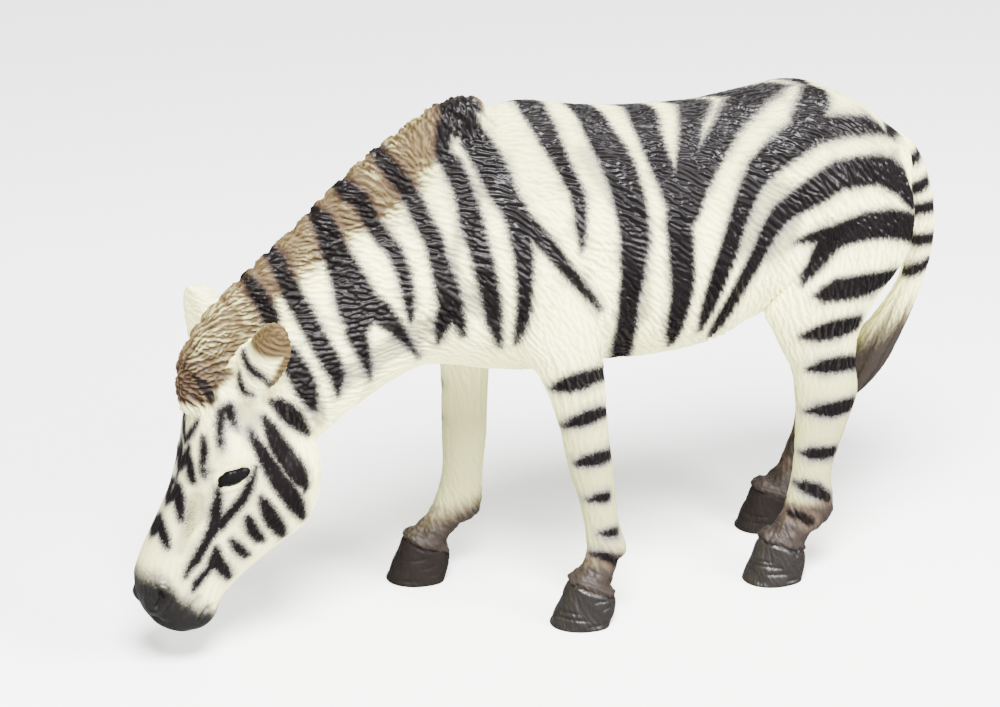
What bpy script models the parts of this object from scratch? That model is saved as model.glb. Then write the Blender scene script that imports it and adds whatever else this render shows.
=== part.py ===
"""Zebra figurine moulded in one piece, grazing with its muzzle just above the ground.

Metres, +Z up. The animal faces -X and its left side is towards -Y. The origin is on the ground
under the middle of the figure. The body is laid up from lofted sections and muscle ellipsoids,
fused into one skin, carved, and cut flat under the hooves.
"""

import math

import bmesh
import bpy
import numpy as np
from mathutils import Matrix, Vector

# Driving sizes, in metres.
LENGTH = 0.120
HOOF_LENGTH = 0.0091
HOOF_WIDTH = 0.0080
HOOF_HEIGHT = 0.0060
MANE_THICKNESS = 0.0058
EAR_LENGTH = 0.0101
EAR_WIDTH = 0.0061
EAR_THICKNESS = 0.0018
LOCK_SPACING = 0.0030
LOCK_DEPTH = 0.00035

CREAM = (0.84, 0.83, 0.70, 1.0)

# Stations of the figure are written in this unit, a 120th of its length, and measured up from a
# level a little under the soles and from a point a little beside the middle of the outline box.
UNIT = LENGTH / 120
UNDER_SOLES = 0.7
BESIDE_X = -0.25
BESIDE_Y = 0.31

# Fineness of the skin.
VOXEL = 0.42 * UNIT
SMOOTH_ROUNDS = 9
RING_SIDES = 28
TRIANGLES = 9400


def clear_scene():
    for old in list(bpy.data.objects):
        bpy.data.objects.remove(old)


def spline(stations, per_span=5):
    """Rows of numbers on a Catmull-Rom curve through the stations."""
    rows = [np.array(s, float) for s in stations]
    rows = [2 * rows[0] - rows[1], *rows, 2 * rows[-1] - rows[-2]]
    out = []
    for a, b, c, d in zip(rows, rows[1:], rows[2:], rows[3:]):
        for k in range(per_span):
            t = k / per_span
            line = 2 * b + (c - a) * t
            bend = (2 * a - 5 * b + 4 * c - d) * t * t
            twist = (3 * b - a - 3 * c + d) * t ** 3
            out.append(0.5 * (line + bend + twist))
    out.append(rows[-2])
    return out


def rounded(value, power):
    """A sine or cosine bent so that the section is a superellipse of this power."""
    return math.copysign(abs(value) ** (2 / power), value)


def add_loft(clay, rings):
    """A closed skin through rings of the same number of points, with a flat cap at each end."""
    loops = [[clay.verts.new(p) for p in ring] for ring in rings]
    faces = []
    for near, far in zip(loops, loops[1:]):
        for i in range(len(near)):
            j = (i + 1) % len(near)
            faces.append(clay.faces.new((near[i], near[j], far[j], far[i])))
    faces.append(clay.faces.new(loops[0][::-1]))
    faces.append(clay.faces.new(loops[-1]))
    bmesh.ops.recalc_face_normals(clay, faces=faces)


def add_ellipsoid(clay, centre, radii, pitch=0.0, yaw=0.0, roll=0.0):
    """A muscle: an ellipsoid of these half sizes, tilted by degrees about Y, then Z, then X."""
    turn = (
        Matrix.Rotation(math.radians(yaw), 4, "Z")
        @ Matrix.Rotation(math.radians(pitch), 4, "Y")
        @ Matrix.Rotation(math.radians(roll), 4, "X")
    )
    size = Matrix.Diagonal((*[r * UNIT for r in radii], 1))
    place = Matrix.Translation(Vector(centre) * UNIT) @ turn @ size
    bmesh.ops.create_icosphere(clay, subdivisions=3, radius=1, matrix=place)


def profile_ring(row):
    """A section between a top and a bottom point of the side view.

    The row is top x, top z, bottom x, bottom z, half width, the share of the height where the
    section is widest, the powers of its upper and lower half, and its sideways place.
    """
    tx, tz, bx, bz, half, widest, upper, lower, y = row
    points = []
    for k in range(RING_SIDES):
        angle = 2 * math.pi * k / RING_SIDES
        power = upper if math.sin(angle) > 0 else lower
        across = rounded(math.cos(angle), power) * half
        along = rounded(math.sin(angle), power)
        share = widest + along * ((1 - widest) if along > 0 else widest)
        x = bx + (tx - bx) * share
        z = bz + (tz - bz) * share
        points.append(Vector((x, y + across, z)) * UNIT)
    return points


def limb_ring(row):
    """A level section of a leg: x, y, z, half length along x, half width along y."""
    x, y, z, rx, ry = row
    points = []
    for k in range(RING_SIDES):
        angle = 2 * math.pi * k / RING_SIDES
        points.append(Vector((x + rx * math.cos(angle), y + ry * math.sin(angle), z)) * UNIT)
    return points


# The trunk and neck, from tail root to throat: top x, z, bottom x, z, half width, widest, powers.
TRUNK = (
    (55.4, 57.4, 53.6, 53.0, 2.0, 0.5, 2.0, 2.0, 0),
    (53.2, 60.6, 50.3, 45.0, 6.5, 0.55, 2.0, 2.2, 0),
    (49.3, 63.6, 47.1, 40.0, 10.3, 0.55, 2.1, 2.2, 0),
    (44.2, 67.2, 43.0, 38.4, 12.6, 0.55, 2.2, 2.2, 0),
    (37.5, 69.4, 37.0, 39.0, 13.2, 0.52, 2.2, 2.2, 0),
    (30.0, 68.9, 29.5, 38.4, 12.9, 0.50, 2.1, 2.2, 0),
    (22.0, 68.4, 22.5, 35.4, 13.3, 0.46, 2.1, 2.2, 0),
    (13.5, 68.8, 14.0, 34.6, 13.8, 0.44, 2.1, 2.2, 0),
    (5.0, 69.8, 6.0, 35.0, 13.6, 0.44, 2.0, 2.2, 0),
    (-3.0, 71.6, -2.0, 34.8, 12.8, 0.42, 1.8, 2.2, 0),
    (-9.0, 71.2, -9.5, 35.6, 12.0, 0.42, 1.7, 2.1, 0),
    (-14.0, 69.2, -15.3, 37.0, 10.9, 0.42, 1.65, 2.0, 0),
    (-19.5, 65.4, -20.4, 37.6, 9.2, 0.42, 1.6, 2.0, 0),
    (-26.2, 60.6, -25.7, 35.5, 7.8, 0.43, 1.6, 2.0, 0),
    (-33.2, 55.2, -30.3, 32.8, 6.8, 0.44, 1.6, 2.0, 0),
    (-40.2, 49.2, -34.0, 30.0, 6.1, 0.45, 1.7, 2.0, 0),
    (-46.0, 43.0, -36.5, 28.4, 5.4, 0.48, 2.0, 2.0, 0),
    (-49.0, 38.5, -38.0, 27.0, 5.0, 0.5, 2.0, 2.0, 0),
)

# The head, from the poll to the lips, in the same form.
HEAD = (
    (-47.5, 43.0, -37.0, 33.5, 4.6, 0.55, 2.2, 2.0, 0),
    (-50.6, 39.0, -34.6, 28.2, 5.8, 0.55, 2.4, 2.2, 0),
    (-52.3, 34.3, -34.4, 23.6, 6.5, 0.58, 2.6, 2.3, 0),
    (-53.2, 29.8, -36.0, 18.6, 6.3, 0.60, 2.6, 2.3, 0),
    (-54.8, 25.3, -40.4, 15.4, 5.2, 0.60, 2.5, 2.2, 0),
    (-57.0, 21.0, -45.2, 12.2, 4.4, 0.58, 2.4, 2.2, 0),
    (-59.1, 16.9, -48.4, 9.4, 4.2, 0.55, 2.4, 2.2, 0),
    (-60.2, 13.0, -49.5, 7.3, 4.5, 0.52, 2.4, 2.2, 0),
    (-59.5, 9.4, -50.6, 6.3, 4.2, 0.5, 2.2, 2.0, 0),
    (-58.0, 6.9, -53.8, 5.4, 2.8, 0.5, 2.0, 2.0, 0),
)

# The upright brush of the mane from the withers to the forelock, in the same form.
MANE_HALF = MANE_THICKNESS / 2 / UNIT
MANE = (
    (-9.9, 71.4, -9.0, 66.0, 0.55 * MANE_HALF, 0.35, 2.6, 2.0, 0),
    (-11.3, 73.3, -10.4, 66.0, 0.80 * MANE_HALF, 0.35, 2.6, 2.0, 0),
    (-15.8, 72.9, -13.8, 64.4, 0.92 * MANE_HALF, 0.35, 2.6, 2.0, 0),
    (-21.8, 69.7, -18.6, 61.4, 1.00 * MANE_HALF, 0.35, 2.5, 2.0, 0),
    (-28.9, 65.2, -25.0, 56.4, 1.00 * MANE_HALF, 0.35, 2.5, 2.0, 0),
    (-36.2, 59.1, -31.4, 51.0, 1.00 * MANE_HALF, 0.35, 2.5, 2.0, 0),
    (-44.9, 52.3, -39.0, 44.6, 1.00 * MANE_HALF, 0.35, 2.5, 2.0, 0),
    (-50.2, 47.6, -43.6, 40.6, 1.02 * MANE_HALF, 0.35, 2.5, 2.0, 0),
    (-53.3, 42.2, -47.0, 37.6, 1.05 * MANE_HALF, 0.40, 2.4, 2.0, 0),
    (-53.6, 38.6, -49.0, 35.6, 0.95 * MANE_HALF, 0.45, 2.2, 2.0, 0),
    (-53.2, 35.8, -50.6, 34.8, 0.50 * MANE_HALF, 0.50, 2.0, 2.0, 0),
)

# Each leg from the body down to the coronet: x, y, z, half length, half width.
FORE_LEFT = (
    (-5.0, -5.4, 56, 9.0, 6.0),
    (-4.6, -6.8, 49, 8.6, 5.8),
    (-3.6, -8.0, 43, 7.0, 5.2),
    (-2.2, -9.2, 38.6, 5.2, 4.2),
    (-1.2, -9.9, 35, 4.1, 3.5),
    (-0.5, -10.3, 31.5, 3.6, 3.0),
    (0.3, -10.5, 27, 3.2, 2.7),
    (1.0, -10.8, 22.5, 3.0, 2.7),
    (1.9, -11.0, 18, 2.5, 2.3),
    (2.6, -11.2, 14, 2.4, 2.1),
    (3.2, -11.3, 10.8, 2.8, 2.3),
    (2.3, -11.3, 8.9, 2.4, 2.2),
    (1.3, -11.3, 7.3, 2.8, 2.7),
    (0.7, -11.3, 5.4, 2.7, 2.7),
)
FORE_RIGHT = (
    (-7.0, 5.4, 56, 9.0, 6.0),
    (-7.6, 6.8, 49, 8.6, 5.8),
    (-8.0, 8.0, 43, 7.0, 5.2),
    (-8.3, 9.0, 38.6, 5.1, 4.2),
    (-8.4, 9.6, 35, 3.8, 3.5),
    (-8.2, 10.1, 31, 3.3, 3.1),
    (-8.0, 10.6, 26, 3.2, 2.9),
    (-7.9, 11.0, 21, 3.1, 2.8),
    (-8.0, 11.3, 16.4, 2.9, 2.4),
    (-8.3, 11.6, 12.9, 3.2, 2.4),
    (-9.3, 11.8, 9.5, 3.9, 2.5),
    (-11.3, 11.9, 8.2, 3.3, 2.5),
    (-12.9, 12.0, 7.0, 3.1, 2.8),
    (-13.7, 12.0, 5.2, 2.9, 2.7),
)
HIND_LEFT = (
    (41.5, -5.6, 61, 8.4, 5.5),
    (41.6, -7.2, 53, 9.9, 6.0),
    (40.0, -8.2, 46, 10.0, 5.4),
    (37.2, -8.8, 40, 8.1, 4.4),
    (36.8, -8.9, 35, 5.8, 3.6),
    (37.7, -8.9, 31, 4.8, 3.0),
    (38.3, -9.0, 27, 4.7, 2.9),
    (37.8, -9.0, 23.2, 4.0, 2.6),
    (37.0, -9.0, 19.2, 3.3, 2.3),
    (36.3, -9.0, 15, 2.9, 2.2),
    (36.1, -9.1, 11.3, 3.6, 2.5),
    (35.2, -9.2, 8.8, 4.1, 2.6),
    (32.9, -9.2, 7.1, 3.2, 2.8),
    (32.0, -9.2, 5.2, 2.9, 2.7),
)
HIND_RIGHT = (
    (42.0, 5.6, 61, 8.4, 5.5),
    (42.5, 7.2, 53, 9.7, 6.0),
    (42.4, 8.0, 46, 9.6, 5.4),
    (42.6, 8.4, 40, 7.8, 4.3),
    (44.0, 8.5, 35, 5.6, 3.5),
    (46.6, 8.5, 31, 4.4, 3.0),
    (48.2, 8.5, 27, 4.3, 2.8),
    (47.6, 8.4, 23.2, 3.6, 2.6),
    (46.9, 8.4, 19.2, 3.0, 2.3),
    (46.3, 8.3, 15, 2.8, 2.2),
    (45.4, 8.3, 11.8, 3.1, 2.4),
    (43.9, 8.2, 8.8, 3.2, 2.5),
    (41.4, 8.2, 6.8, 3.0, 2.8),
    (40.5, 8.2, 5.0, 2.8, 2.7),
)

# Each hoof: the middle of its sole, and the way it points, in degrees from straight ahead.
HOOVES = {
    "fore_left": (-0.4, -11.4, -8),
    "fore_right": (-14.6, 12.1, -4),
    "hind_left": (30.6, -9.1, 6),
    "hind_right": (38.8, 8.1, -4),
}

# The tail, from the dock to the end of the tuft: x, y, z, half thickness fore and aft, sideways.
TAIL = (
    (50.5, 0.0, 59.6, 2.4, 2.4),
    (54.1, 0.0, 57.0, 2.5, 2.3),
    (56.3, 0.0, 53.0, 2.4, 2.2),
    (57.7, 0.0, 48.0, 2.2, 2.1),
    (57.9, 0.0, 43.0, 1.9, 1.8),
    (56.7, 0.0, 38.0, 1.8, 1.6),
    (54.0, 0.0, 33.2, 2.3, 2.1),
    (50.6, 0.0, 28.8, 3.1, 2.8),
    (48.3, 0.0, 25.0, 2.4, 2.1),
    (46.6, 0.0, 21.8, 0.9, 0.9),
)

# The ears: root, the way each points, the way its back faces and its share of the ear's width.
EARS = (
    ((-45.7, -4.9, 39.6), (0.31, -0.34, 0.89), (-0.74, -0.67, 0), 1.0),
    ((-47.2, 4.6, 40.6), (-0.12, 0.33, 0.93), (-0.80, -0.60, 0), 1.22),
)

# Muscles laid over the trunk on both sides: centre, half sizes, pitch, yaw.
MUSCLES = (
    ((-41.8, 2.4, 25.6), (6.4, 4.6, 7.4), 34, 0),
    ((-48.6, 3.9, 31.0), (2.8, 2.4, 2.2), 30, 0),
    ((-57.6, 2.3, 12.0), (2.4, 2.3, 3.2), 26, 0),
    ((-44.7, 3.7, 42.2), (2.0, 1.7, 3.0), 0, 0),
)

# Carved bumps and dents on both sides: centre, reach, height (negative digs in).
DABS = (
    ((-49.3, 6.4, 28.3), 1.9, 0.45),
    ((-48.0, 5.9, 31.6), 2.4, 0.45),
    ((-46.6, 5.6, 35.6), 2.8, -0.55),
    ((-52.4, 5.0, 22.6), 3.4, -0.55),
    ((-59.3, 3.0, 11.9), 1.3, -1.0),
    ((-58.2, 3.9, 14.2), 1.5, 0.35),
    ((-52.4, 2.6, 6.4), 2.2, 0.35),
    ((-10.0, 11.0, 53.0), 9.0, 0.7),
    ((1.5, 12.4, 45.0), 5.0, 0.5),
    ((37.5, 12.8, 54.0), 8.0, 0.5),
    ((47.0, 9.6, 49.0), 5.5, 0.5),
    ((27.0, 12.6, 55.0), 7.0, -0.8),
    ((31.5, 10.6, 63.4), 4.0, 0.7),
    ((33.0, 12.0, 43.5), 4.0, 0.5),
    ((-16.5, 9.6, 44.0), 3.4, 0.5),
)

# Carved furrows and ridges on both sides: points, reach, height.
STROKES = (
    (((-59.4, 1.2, 7.6), (-55.4, 3.8, 9.0), (-53.0, 4.4, 10.8)), 0.8, -0.5),
    (((-36.4, 5.6, 35.0), (-33.8, 4.8, 28.5), (-34.0, 3.6, 24.5)), 1.5, -0.45),
    (((-33.0, 5.4, 39.0), (-22.0, 8.0, 45.0), (-14.5, 9.8, 48.0)), 2.4, -0.5),
    (((-13.0, 7.0, 66.0), (-18.5, 9.0, 54.0), (-14.0, 11.0, 46.0)), 2.2, -0.5),
    (((1.0, 9.0, 67.0), (7.0, 12.6, 56.0), (7.0, 12.6, 44.0)), 2.4, -0.45),
    (((-3.5, 12.6, 50.0), (1.0, 12.8, 43.0), (2.6, 12.0, 39.0)), 1.8, -0.4),
    (((32.0, 12.4, 47.0), (29.0, 10.0, 40.6), (28.6, 7.0, 38.8)), 1.8, 0.6),
    (((48.0, 9.0, 60.0), (47.0, 11.4, 50.0), (43.5, 11.6, 42.0)), 2.0, -0.45),
    (((36.0, 0.0, 69.6), (45.0, 0.0, 67.0), (52.0, 0.0, 61.6)), 1.8, -0.35),
    (((-50.0, 6.3, 25.6), (-53.0, 5.0, 19.4)), 1.2, 0.3),
)


def turned_ring(row, ahead):
    """A section square to the path: x, y, z of its middle, half size along, half size across."""
    x, y, z, along, across = row
    side = Vector((0, 1, 0))
    face = side.cross(ahead).normalized()
    middle = Vector((x, y, z))
    points = []
    for k in range(RING_SIDES):
        angle = 2 * math.pi * k / RING_SIDES
        offset = face * (along * math.cos(angle)) + side * (across * math.sin(angle))
        points.append((middle + offset) * UNIT)
    return points


def path_rings(rows):
    """Rings square to the line through the rows' middles."""
    rings = []
    for k, row in enumerate(rows):
        after = rows[min(k + 1, len(rows) - 1)]
        before = rows[max(k - 1, 0)]
        ahead = Vector(after[:3]) - Vector(before[:3])
        rings.append(turned_ring(row, ahead.normalized()))
    return rings


def hoof_rings(x, y, turn):
    """A hoof from below the ground to its sloping coronet."""
    half_length = HOOF_LENGTH / 2 / UNIT
    half_width = HOOF_WIDTH / 2 / UNIT
    height = HOOF_HEIGHT / UNIT
    rings = []
    for share in (-0.4, 0.0, 0.3, 0.6, 0.86, 1.0):
        points = []
        size = 1.0 - 0.28 * max(share, 0.0)
        if share > 0.9:
            size *= 0.84
        for k in range(RING_SIDES):
            angle = 2 * math.pi * k / RING_SIDES
            toe = rounded(math.cos(angle), 2.0 if math.cos(angle) > 0 else 2.8)
            heel = 1.0 - 0.24 * max(-toe, 0.0) * min(max(0.45 - share, 0.0) / 0.45, 1.0)
            ahead = toe * half_length * size * heel
            across = rounded(math.sin(angle), 2.1) * half_width * size
            rise = share * height * (1.0 + 0.26 * toe)
            back = 0.26 * rise
            points.append((-ahead + back, across, rise))
        rings.append(points)
    spin = Matrix.Rotation(math.radians(turn), 3, "Z")
    return [[(spin @ Vector(p) + Vector((x, y, 0))) * UNIT for p in ring] for ring in rings]


def ear_rings(root, aim, back, breadth):
    """An ear from its root to its point, hollow towards the front."""
    root, up = Vector(root), Vector(aim).normalized()
    half, reach, thick = breadth * EAR_WIDTH / 2 / UNIT, EAR_LENGTH / UNIT, EAR_THICKNESS / 2 / UNIT
    back = Vector(back)
    back = (back - up * back.dot(up)).normalized()
    across = up.cross(back)
    rings = []
    for share in (-0.22, -0.05, 0.12, 0.3, 0.48, 0.64, 0.78, 0.9, 0.97, 1.0):
        open_share = min(max(share + 0.1, 0.0) / 0.5, 1.0)
        wide = half * (0.52 + 0.48 * math.sin(open_share * math.pi / 2))
        if share > 0.45:
            wide *= math.sqrt(max(0.02, 1 - ((share - 0.45) / 0.56) ** 1.9))
        centre = root + up * reach * share
        points = []
        for k in range(RING_SIDES):
            angle = 2 * math.pi * k / RING_SIDES
            reach_out = math.cos(angle)
            bow = -0.5 * wide * reach_out * reach_out * open_share
            offset = across * (reach_out * wide) + back * (math.sin(angle) * thick + bow)
            points.append((centre + offset) * UNIT)
        rings.append(points)
    return rings


def lay_up_clay():
    """All the shapes of the figure as closed shells in one mesh, overlapping where they fuse."""
    clay = bmesh.new()
    for rows in (TRUNK, HEAD, MANE):
        add_loft(clay, [profile_ring(r) for r in spline(rows)])
    for leg in (FORE_LEFT, FORE_RIGHT, HIND_LEFT, HIND_RIGHT):
        add_loft(clay, [limb_ring(r) for r in spline(leg)])
    add_loft(clay, path_rings(spline(TAIL)))
    for ear in EARS:
        add_loft(clay, ear_rings(*ear))
    for (x, y, z), radii, pitch, yaw in MUSCLES:
        for side in (-1, 1):
            add_ellipsoid(clay, (x, side * y, z), radii, pitch, side * yaw)
    shift = Vector((-BESIDE_X, -BESIDE_Y, -UNDER_SOLES)) * UNIT
    bmesh.ops.translate(clay, verts=clay.verts, vec=shift)
    for x, y, turn in HOOVES.values():
        add_loft(clay, hoof_rings(x - BESIDE_X, y - BESIDE_Y, turn))
    return clay


def near_line(points, line):
    """How far each point is from a line of several straight pieces."""
    best = np.full(len(points), np.inf)
    for a, b in zip(line, line[1:]):
        a, b = np.array(a, float), np.array(b, float)
        share = np.clip((points - a) @ (b - a) / ((b - a) @ (b - a)), 0, 1)
        gap = points - (a + share[:, None] * (b - a))
        best = np.minimum(best, np.sqrt((gap ** 2).sum(1)))
    return best


def hair_locks(points):
    """How deep the furrows between the locks of the mane and tail are at each point."""
    spacing = LOCK_SPACING / UNIT
    x, y, z = points.T
    top = np.array([(r[0], r[1]) for r in MANE])
    root = np.array([(r[2], r[3]) for r in MANE])
    crest = root + (top - root) * 0.45
    above = z - np.interp(x, crest[::-1, 0], crest[::-1, 1])
    in_mane = np.clip(above / 2.0, 0, 1) * (np.abs(y) < 3.2) * (x < -9.4) * (x > -56)
    along = 0.78 * x + 0.50 * z + 0.5 * np.sin(0.9 * z + 2.0 * np.sign(y))
    mane = in_mane * np.cos(math.pi * along / spacing) ** 8
    tuft = np.array([(r[0], r[2]) for r in TAIL])
    middle = np.interp(z, tuft[::-1, 1], tuft[::-1, 0])
    turn = np.arctan2(y, x - middle) + 0.035 * z
    in_tail = (z < 40) * (np.abs(x - middle) < 6) * (np.abs(y) < 4.5) * np.clip((40 - z) / 8, 0, 1)
    tail = in_tail * np.cos(2.5 * turn) ** 8
    return mane + 1.3 * tail


def carving(points):
    """How far the carved dabs, strokes and hair locks lift the surface at each point."""
    lift = np.zeros(len(points))
    for side in (-1, 1):
        turned = points * (1, side, 1)
        for centre, reach, height in DABS:
            gap = np.sqrt(((turned - np.array(centre)) ** 2).sum(1))
            lift += height * np.exp(-((gap / reach) ** 2) * 1.4)
        for line, reach, height in STROKES:
            share = 0.5 if all(p[1] == 0 for p in line) else 1.0
            lift += share * height * np.exp(-((near_line(turned, line) / reach) ** 2) * 1.4)
    return lift - LOCK_DEPTH / UNIT * hair_locks(points)


def carve(skin):
    """Works the carving into the skin, along the way its surface faces."""
    count = len(skin.vertices)
    place, facing = np.empty(count * 3), np.empty(count * 3)
    skin.vertices.foreach_get("co", place)
    skin.vertices.foreach_get("normal", facing)
    place, facing = place.reshape(-1, 3) / UNIT, facing.reshape(-1, 3)
    lift = carving(place + (BESIDE_X, BESIDE_Y, UNDER_SOLES))
    place = (place + facing * lift[:, None]) * UNIT
    skin.vertices.foreach_set("co", place.ravel())
    skin.update()


def fused_skin(clay):
    """One closed skin over all the shells."""
    raw = bpy.data.meshes.new("clay")
    clay.to_mesh(raw)
    clay.free()
    lump = bpy.data.objects.new("clay", raw)
    bpy.context.scene.collection.objects.link(lump)
    remesh = lump.modifiers.new("fuse", "REMESH")
    remesh.mode = "VOXEL"
    remesh.voxel_size = VOXEL
    remesh.adaptivity = 0.0
    soften = lump.modifiers.new("soften", "SMOOTH")
    soften.factor = 0.5
    soften.iterations = SMOOTH_ROUNDS
    graph = bpy.context.evaluated_depsgraph_get()
    skin = bpy.data.meshes.new_from_object(lump.evaluated_get(graph))
    bpy.data.objects.remove(lump)
    return skin


def ground_block():
    """What lies under the ground, which cuts the soles flat."""
    block = bmesh.new()
    bmesh.ops.create_cube(block, size=1)
    mesh = bpy.data.meshes.new("ground")
    block.to_mesh(mesh)
    block.free()
    ground = bpy.data.objects.new("ground", mesh)
    mesh.transform(Matrix.Diagonal((LENGTH * 1.5, LENGTH, LENGTH * 0.2, 1)))
    mesh.transform(Matrix.Translation((0, 0, -LENGTH * 0.1)))
    ground.hide_render = True
    ground.display_type = "WIRE"
    bpy.context.scene.collection.objects.link(ground)
    return ground


def painted_plastic():
    """The cream of the coat on a firm plastic; the stripes are paint and not part of the form."""
    paint = bpy.data.materials.new("painted_plastic")
    paint.use_nodes = True
    shader = paint.node_tree.nodes["Principled BSDF"]
    shader.inputs["Base Color"].default_value = CREAM
    shader.inputs["Roughness"].default_value = 0.5
    shader.inputs["Metallic"].default_value = 0.0
    return paint


def main():
    clear_scene()
    skin = fused_skin(lay_up_clay())
    carve(skin)
    zebra = bpy.data.objects.new("zebra_figurine", skin)
    skin.name = "zebra_figurine"
    bpy.context.scene.collection.objects.link(zebra)
    skin.materials.append(painted_plastic())
    skin.shade_smooth()
    thin = zebra.modifiers.new("thin_out", "DECIMATE")
    skin.calc_loop_triangles()
    thin.ratio = TRIANGLES / len(skin.loop_triangles)
    soles = zebra.modifiers.new("soles", "BOOLEAN")
    soles.operation = "DIFFERENCE"
    soles.object = ground_block()
    return zebra


main()
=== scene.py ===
"""The zebra figurine dressed for the photograph: fine moulded coat, painted stripes and studio.

The form is laid up from the same sections as the solid, much finer, and the moulded hair strokes
are raised on it. The stripes were traced as centre lines with half widths, in pixels of
the 1000 x 707 photograph, and are laid on the form along the lines of sight.
"""

import math

import bmesh
import bpy
import numpy as np
from mathutils import Matrix, Vector
from mathutils.bvhtree import BVHTree


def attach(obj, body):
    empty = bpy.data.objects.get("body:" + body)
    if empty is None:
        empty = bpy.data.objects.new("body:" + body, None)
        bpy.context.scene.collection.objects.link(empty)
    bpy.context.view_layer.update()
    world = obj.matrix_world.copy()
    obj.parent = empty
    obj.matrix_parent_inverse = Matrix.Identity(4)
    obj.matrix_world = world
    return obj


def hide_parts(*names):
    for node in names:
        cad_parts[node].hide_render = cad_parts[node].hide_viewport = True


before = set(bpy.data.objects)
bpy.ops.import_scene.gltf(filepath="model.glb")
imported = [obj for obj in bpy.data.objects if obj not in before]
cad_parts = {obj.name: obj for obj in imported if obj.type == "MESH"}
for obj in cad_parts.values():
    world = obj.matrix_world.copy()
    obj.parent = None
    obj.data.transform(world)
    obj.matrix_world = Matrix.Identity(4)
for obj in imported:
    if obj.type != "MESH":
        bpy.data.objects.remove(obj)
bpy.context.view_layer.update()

# Driving sizes, in metres.
LENGTH = 0.120
HOOF_LENGTH = 0.0091
HOOF_WIDTH = 0.0080
HOOF_HEIGHT = 0.0060
MANE_THICKNESS = 0.0058
EAR_LENGTH = 0.0101
EAR_WIDTH = 0.0061
EAR_THICKNESS = 0.0018
LOCK_SPACING = 0.0030
LOCK_DEPTH = 0.00035

# Stations of the figure are written in this unit, a 120th of its length, and measured up from a
# level a little under the soles and from a point a little beside the middle of the outline box.
UNIT = LENGTH / 120
UNDER_SOLES = 0.7
BESIDE_X = -0.25
BESIDE_Y = 0.31
SHIFT = (BESIDE_X, BESIDE_Y, UNDER_SOLES)

RING_SIDES = 48


def spline(stations, per_span=5):
    """Rows of numbers on a Catmull-Rom curve through the stations."""
    rows = [np.array(s, float) for s in stations]
    rows = [2 * rows[0] - rows[1], *rows, 2 * rows[-1] - rows[-2]]
    out = []
    for a, b, c, d in zip(rows, rows[1:], rows[2:], rows[3:]):
        for k in range(per_span):
            t = k / per_span
            line = 2 * b + (c - a) * t
            bend = (2 * a - 5 * b + 4 * c - d) * t * t
            twist = (3 * b - a - 3 * c + d) * t ** 3
            out.append(0.5 * (line + bend + twist))
    out.append(rows[-2])
    return out


def round_the_ring():
    """The angle of each point of a ring."""
    return [2 * math.pi * k / RING_SIDES for k in range(RING_SIDES)]


def rounded(value, power):
    """A sine or cosine bent so that the section is a superellipse of this power."""
    return math.copysign(abs(value) ** (2 / power), value)


def add_loft(clay, rings):
    """A closed skin through rings of the same number of points, with a flat cap at each end."""
    loops = [[clay.verts.new(p) for p in ring] for ring in rings]
    faces = []
    for near, far in zip(loops, loops[1:]):
        for i in range(len(near)):
            j = (i + 1) % len(near)
            faces.append(clay.faces.new((near[i], near[j], far[j], far[i])))
    faces.append(clay.faces.new(loops[0][::-1]))
    faces.append(clay.faces.new(loops[-1]))
    bmesh.ops.recalc_face_normals(clay, faces=faces)


def add_ellipsoid(clay, centre, radii, pitch, yaw):
    """A muscle: an ellipsoid of these half sizes, tilted by degrees about Y, then Z."""
    turn = Matrix.Rotation(math.radians(yaw), 4, "Z") @ Matrix.Rotation(math.radians(pitch), 4, "Y")
    size = Matrix.Diagonal((*[r * UNIT for r in radii], 1))
    place = Matrix.Translation(Vector(centre) * UNIT) @ turn @ size
    bmesh.ops.create_icosphere(clay, subdivisions=3, radius=1, matrix=place)


def profile_ring(row):
    """A section between a top and a bottom point of the side view.

    The row is top x, top z, bottom x, bottom z, half width, the share of the height where the
    section is widest, and the powers of its upper and lower half.
    """
    tx, tz, bx, bz, half, widest, upper, lower = row
    points = []
    for angle in round_the_ring():
        power = upper if math.sin(angle) > 0 else lower
        across = rounded(math.cos(angle), power) * half
        along = rounded(math.sin(angle), power)
        share = widest + along * ((1 - widest) if along > 0 else widest)
        x = bx + (tx - bx) * share
        z = bz + (tz - bz) * share
        points.append(Vector((x, across, z)) * UNIT)
    return points


def limb_ring(row):
    """A level section of a leg: x, y, z, half length along x, half width along y."""
    x, y, z, rx, ry = row
    points = []
    for angle in round_the_ring():
        points.append(Vector((x + rx * math.cos(angle), y + ry * math.sin(angle), z)) * UNIT)
    return points


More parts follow.
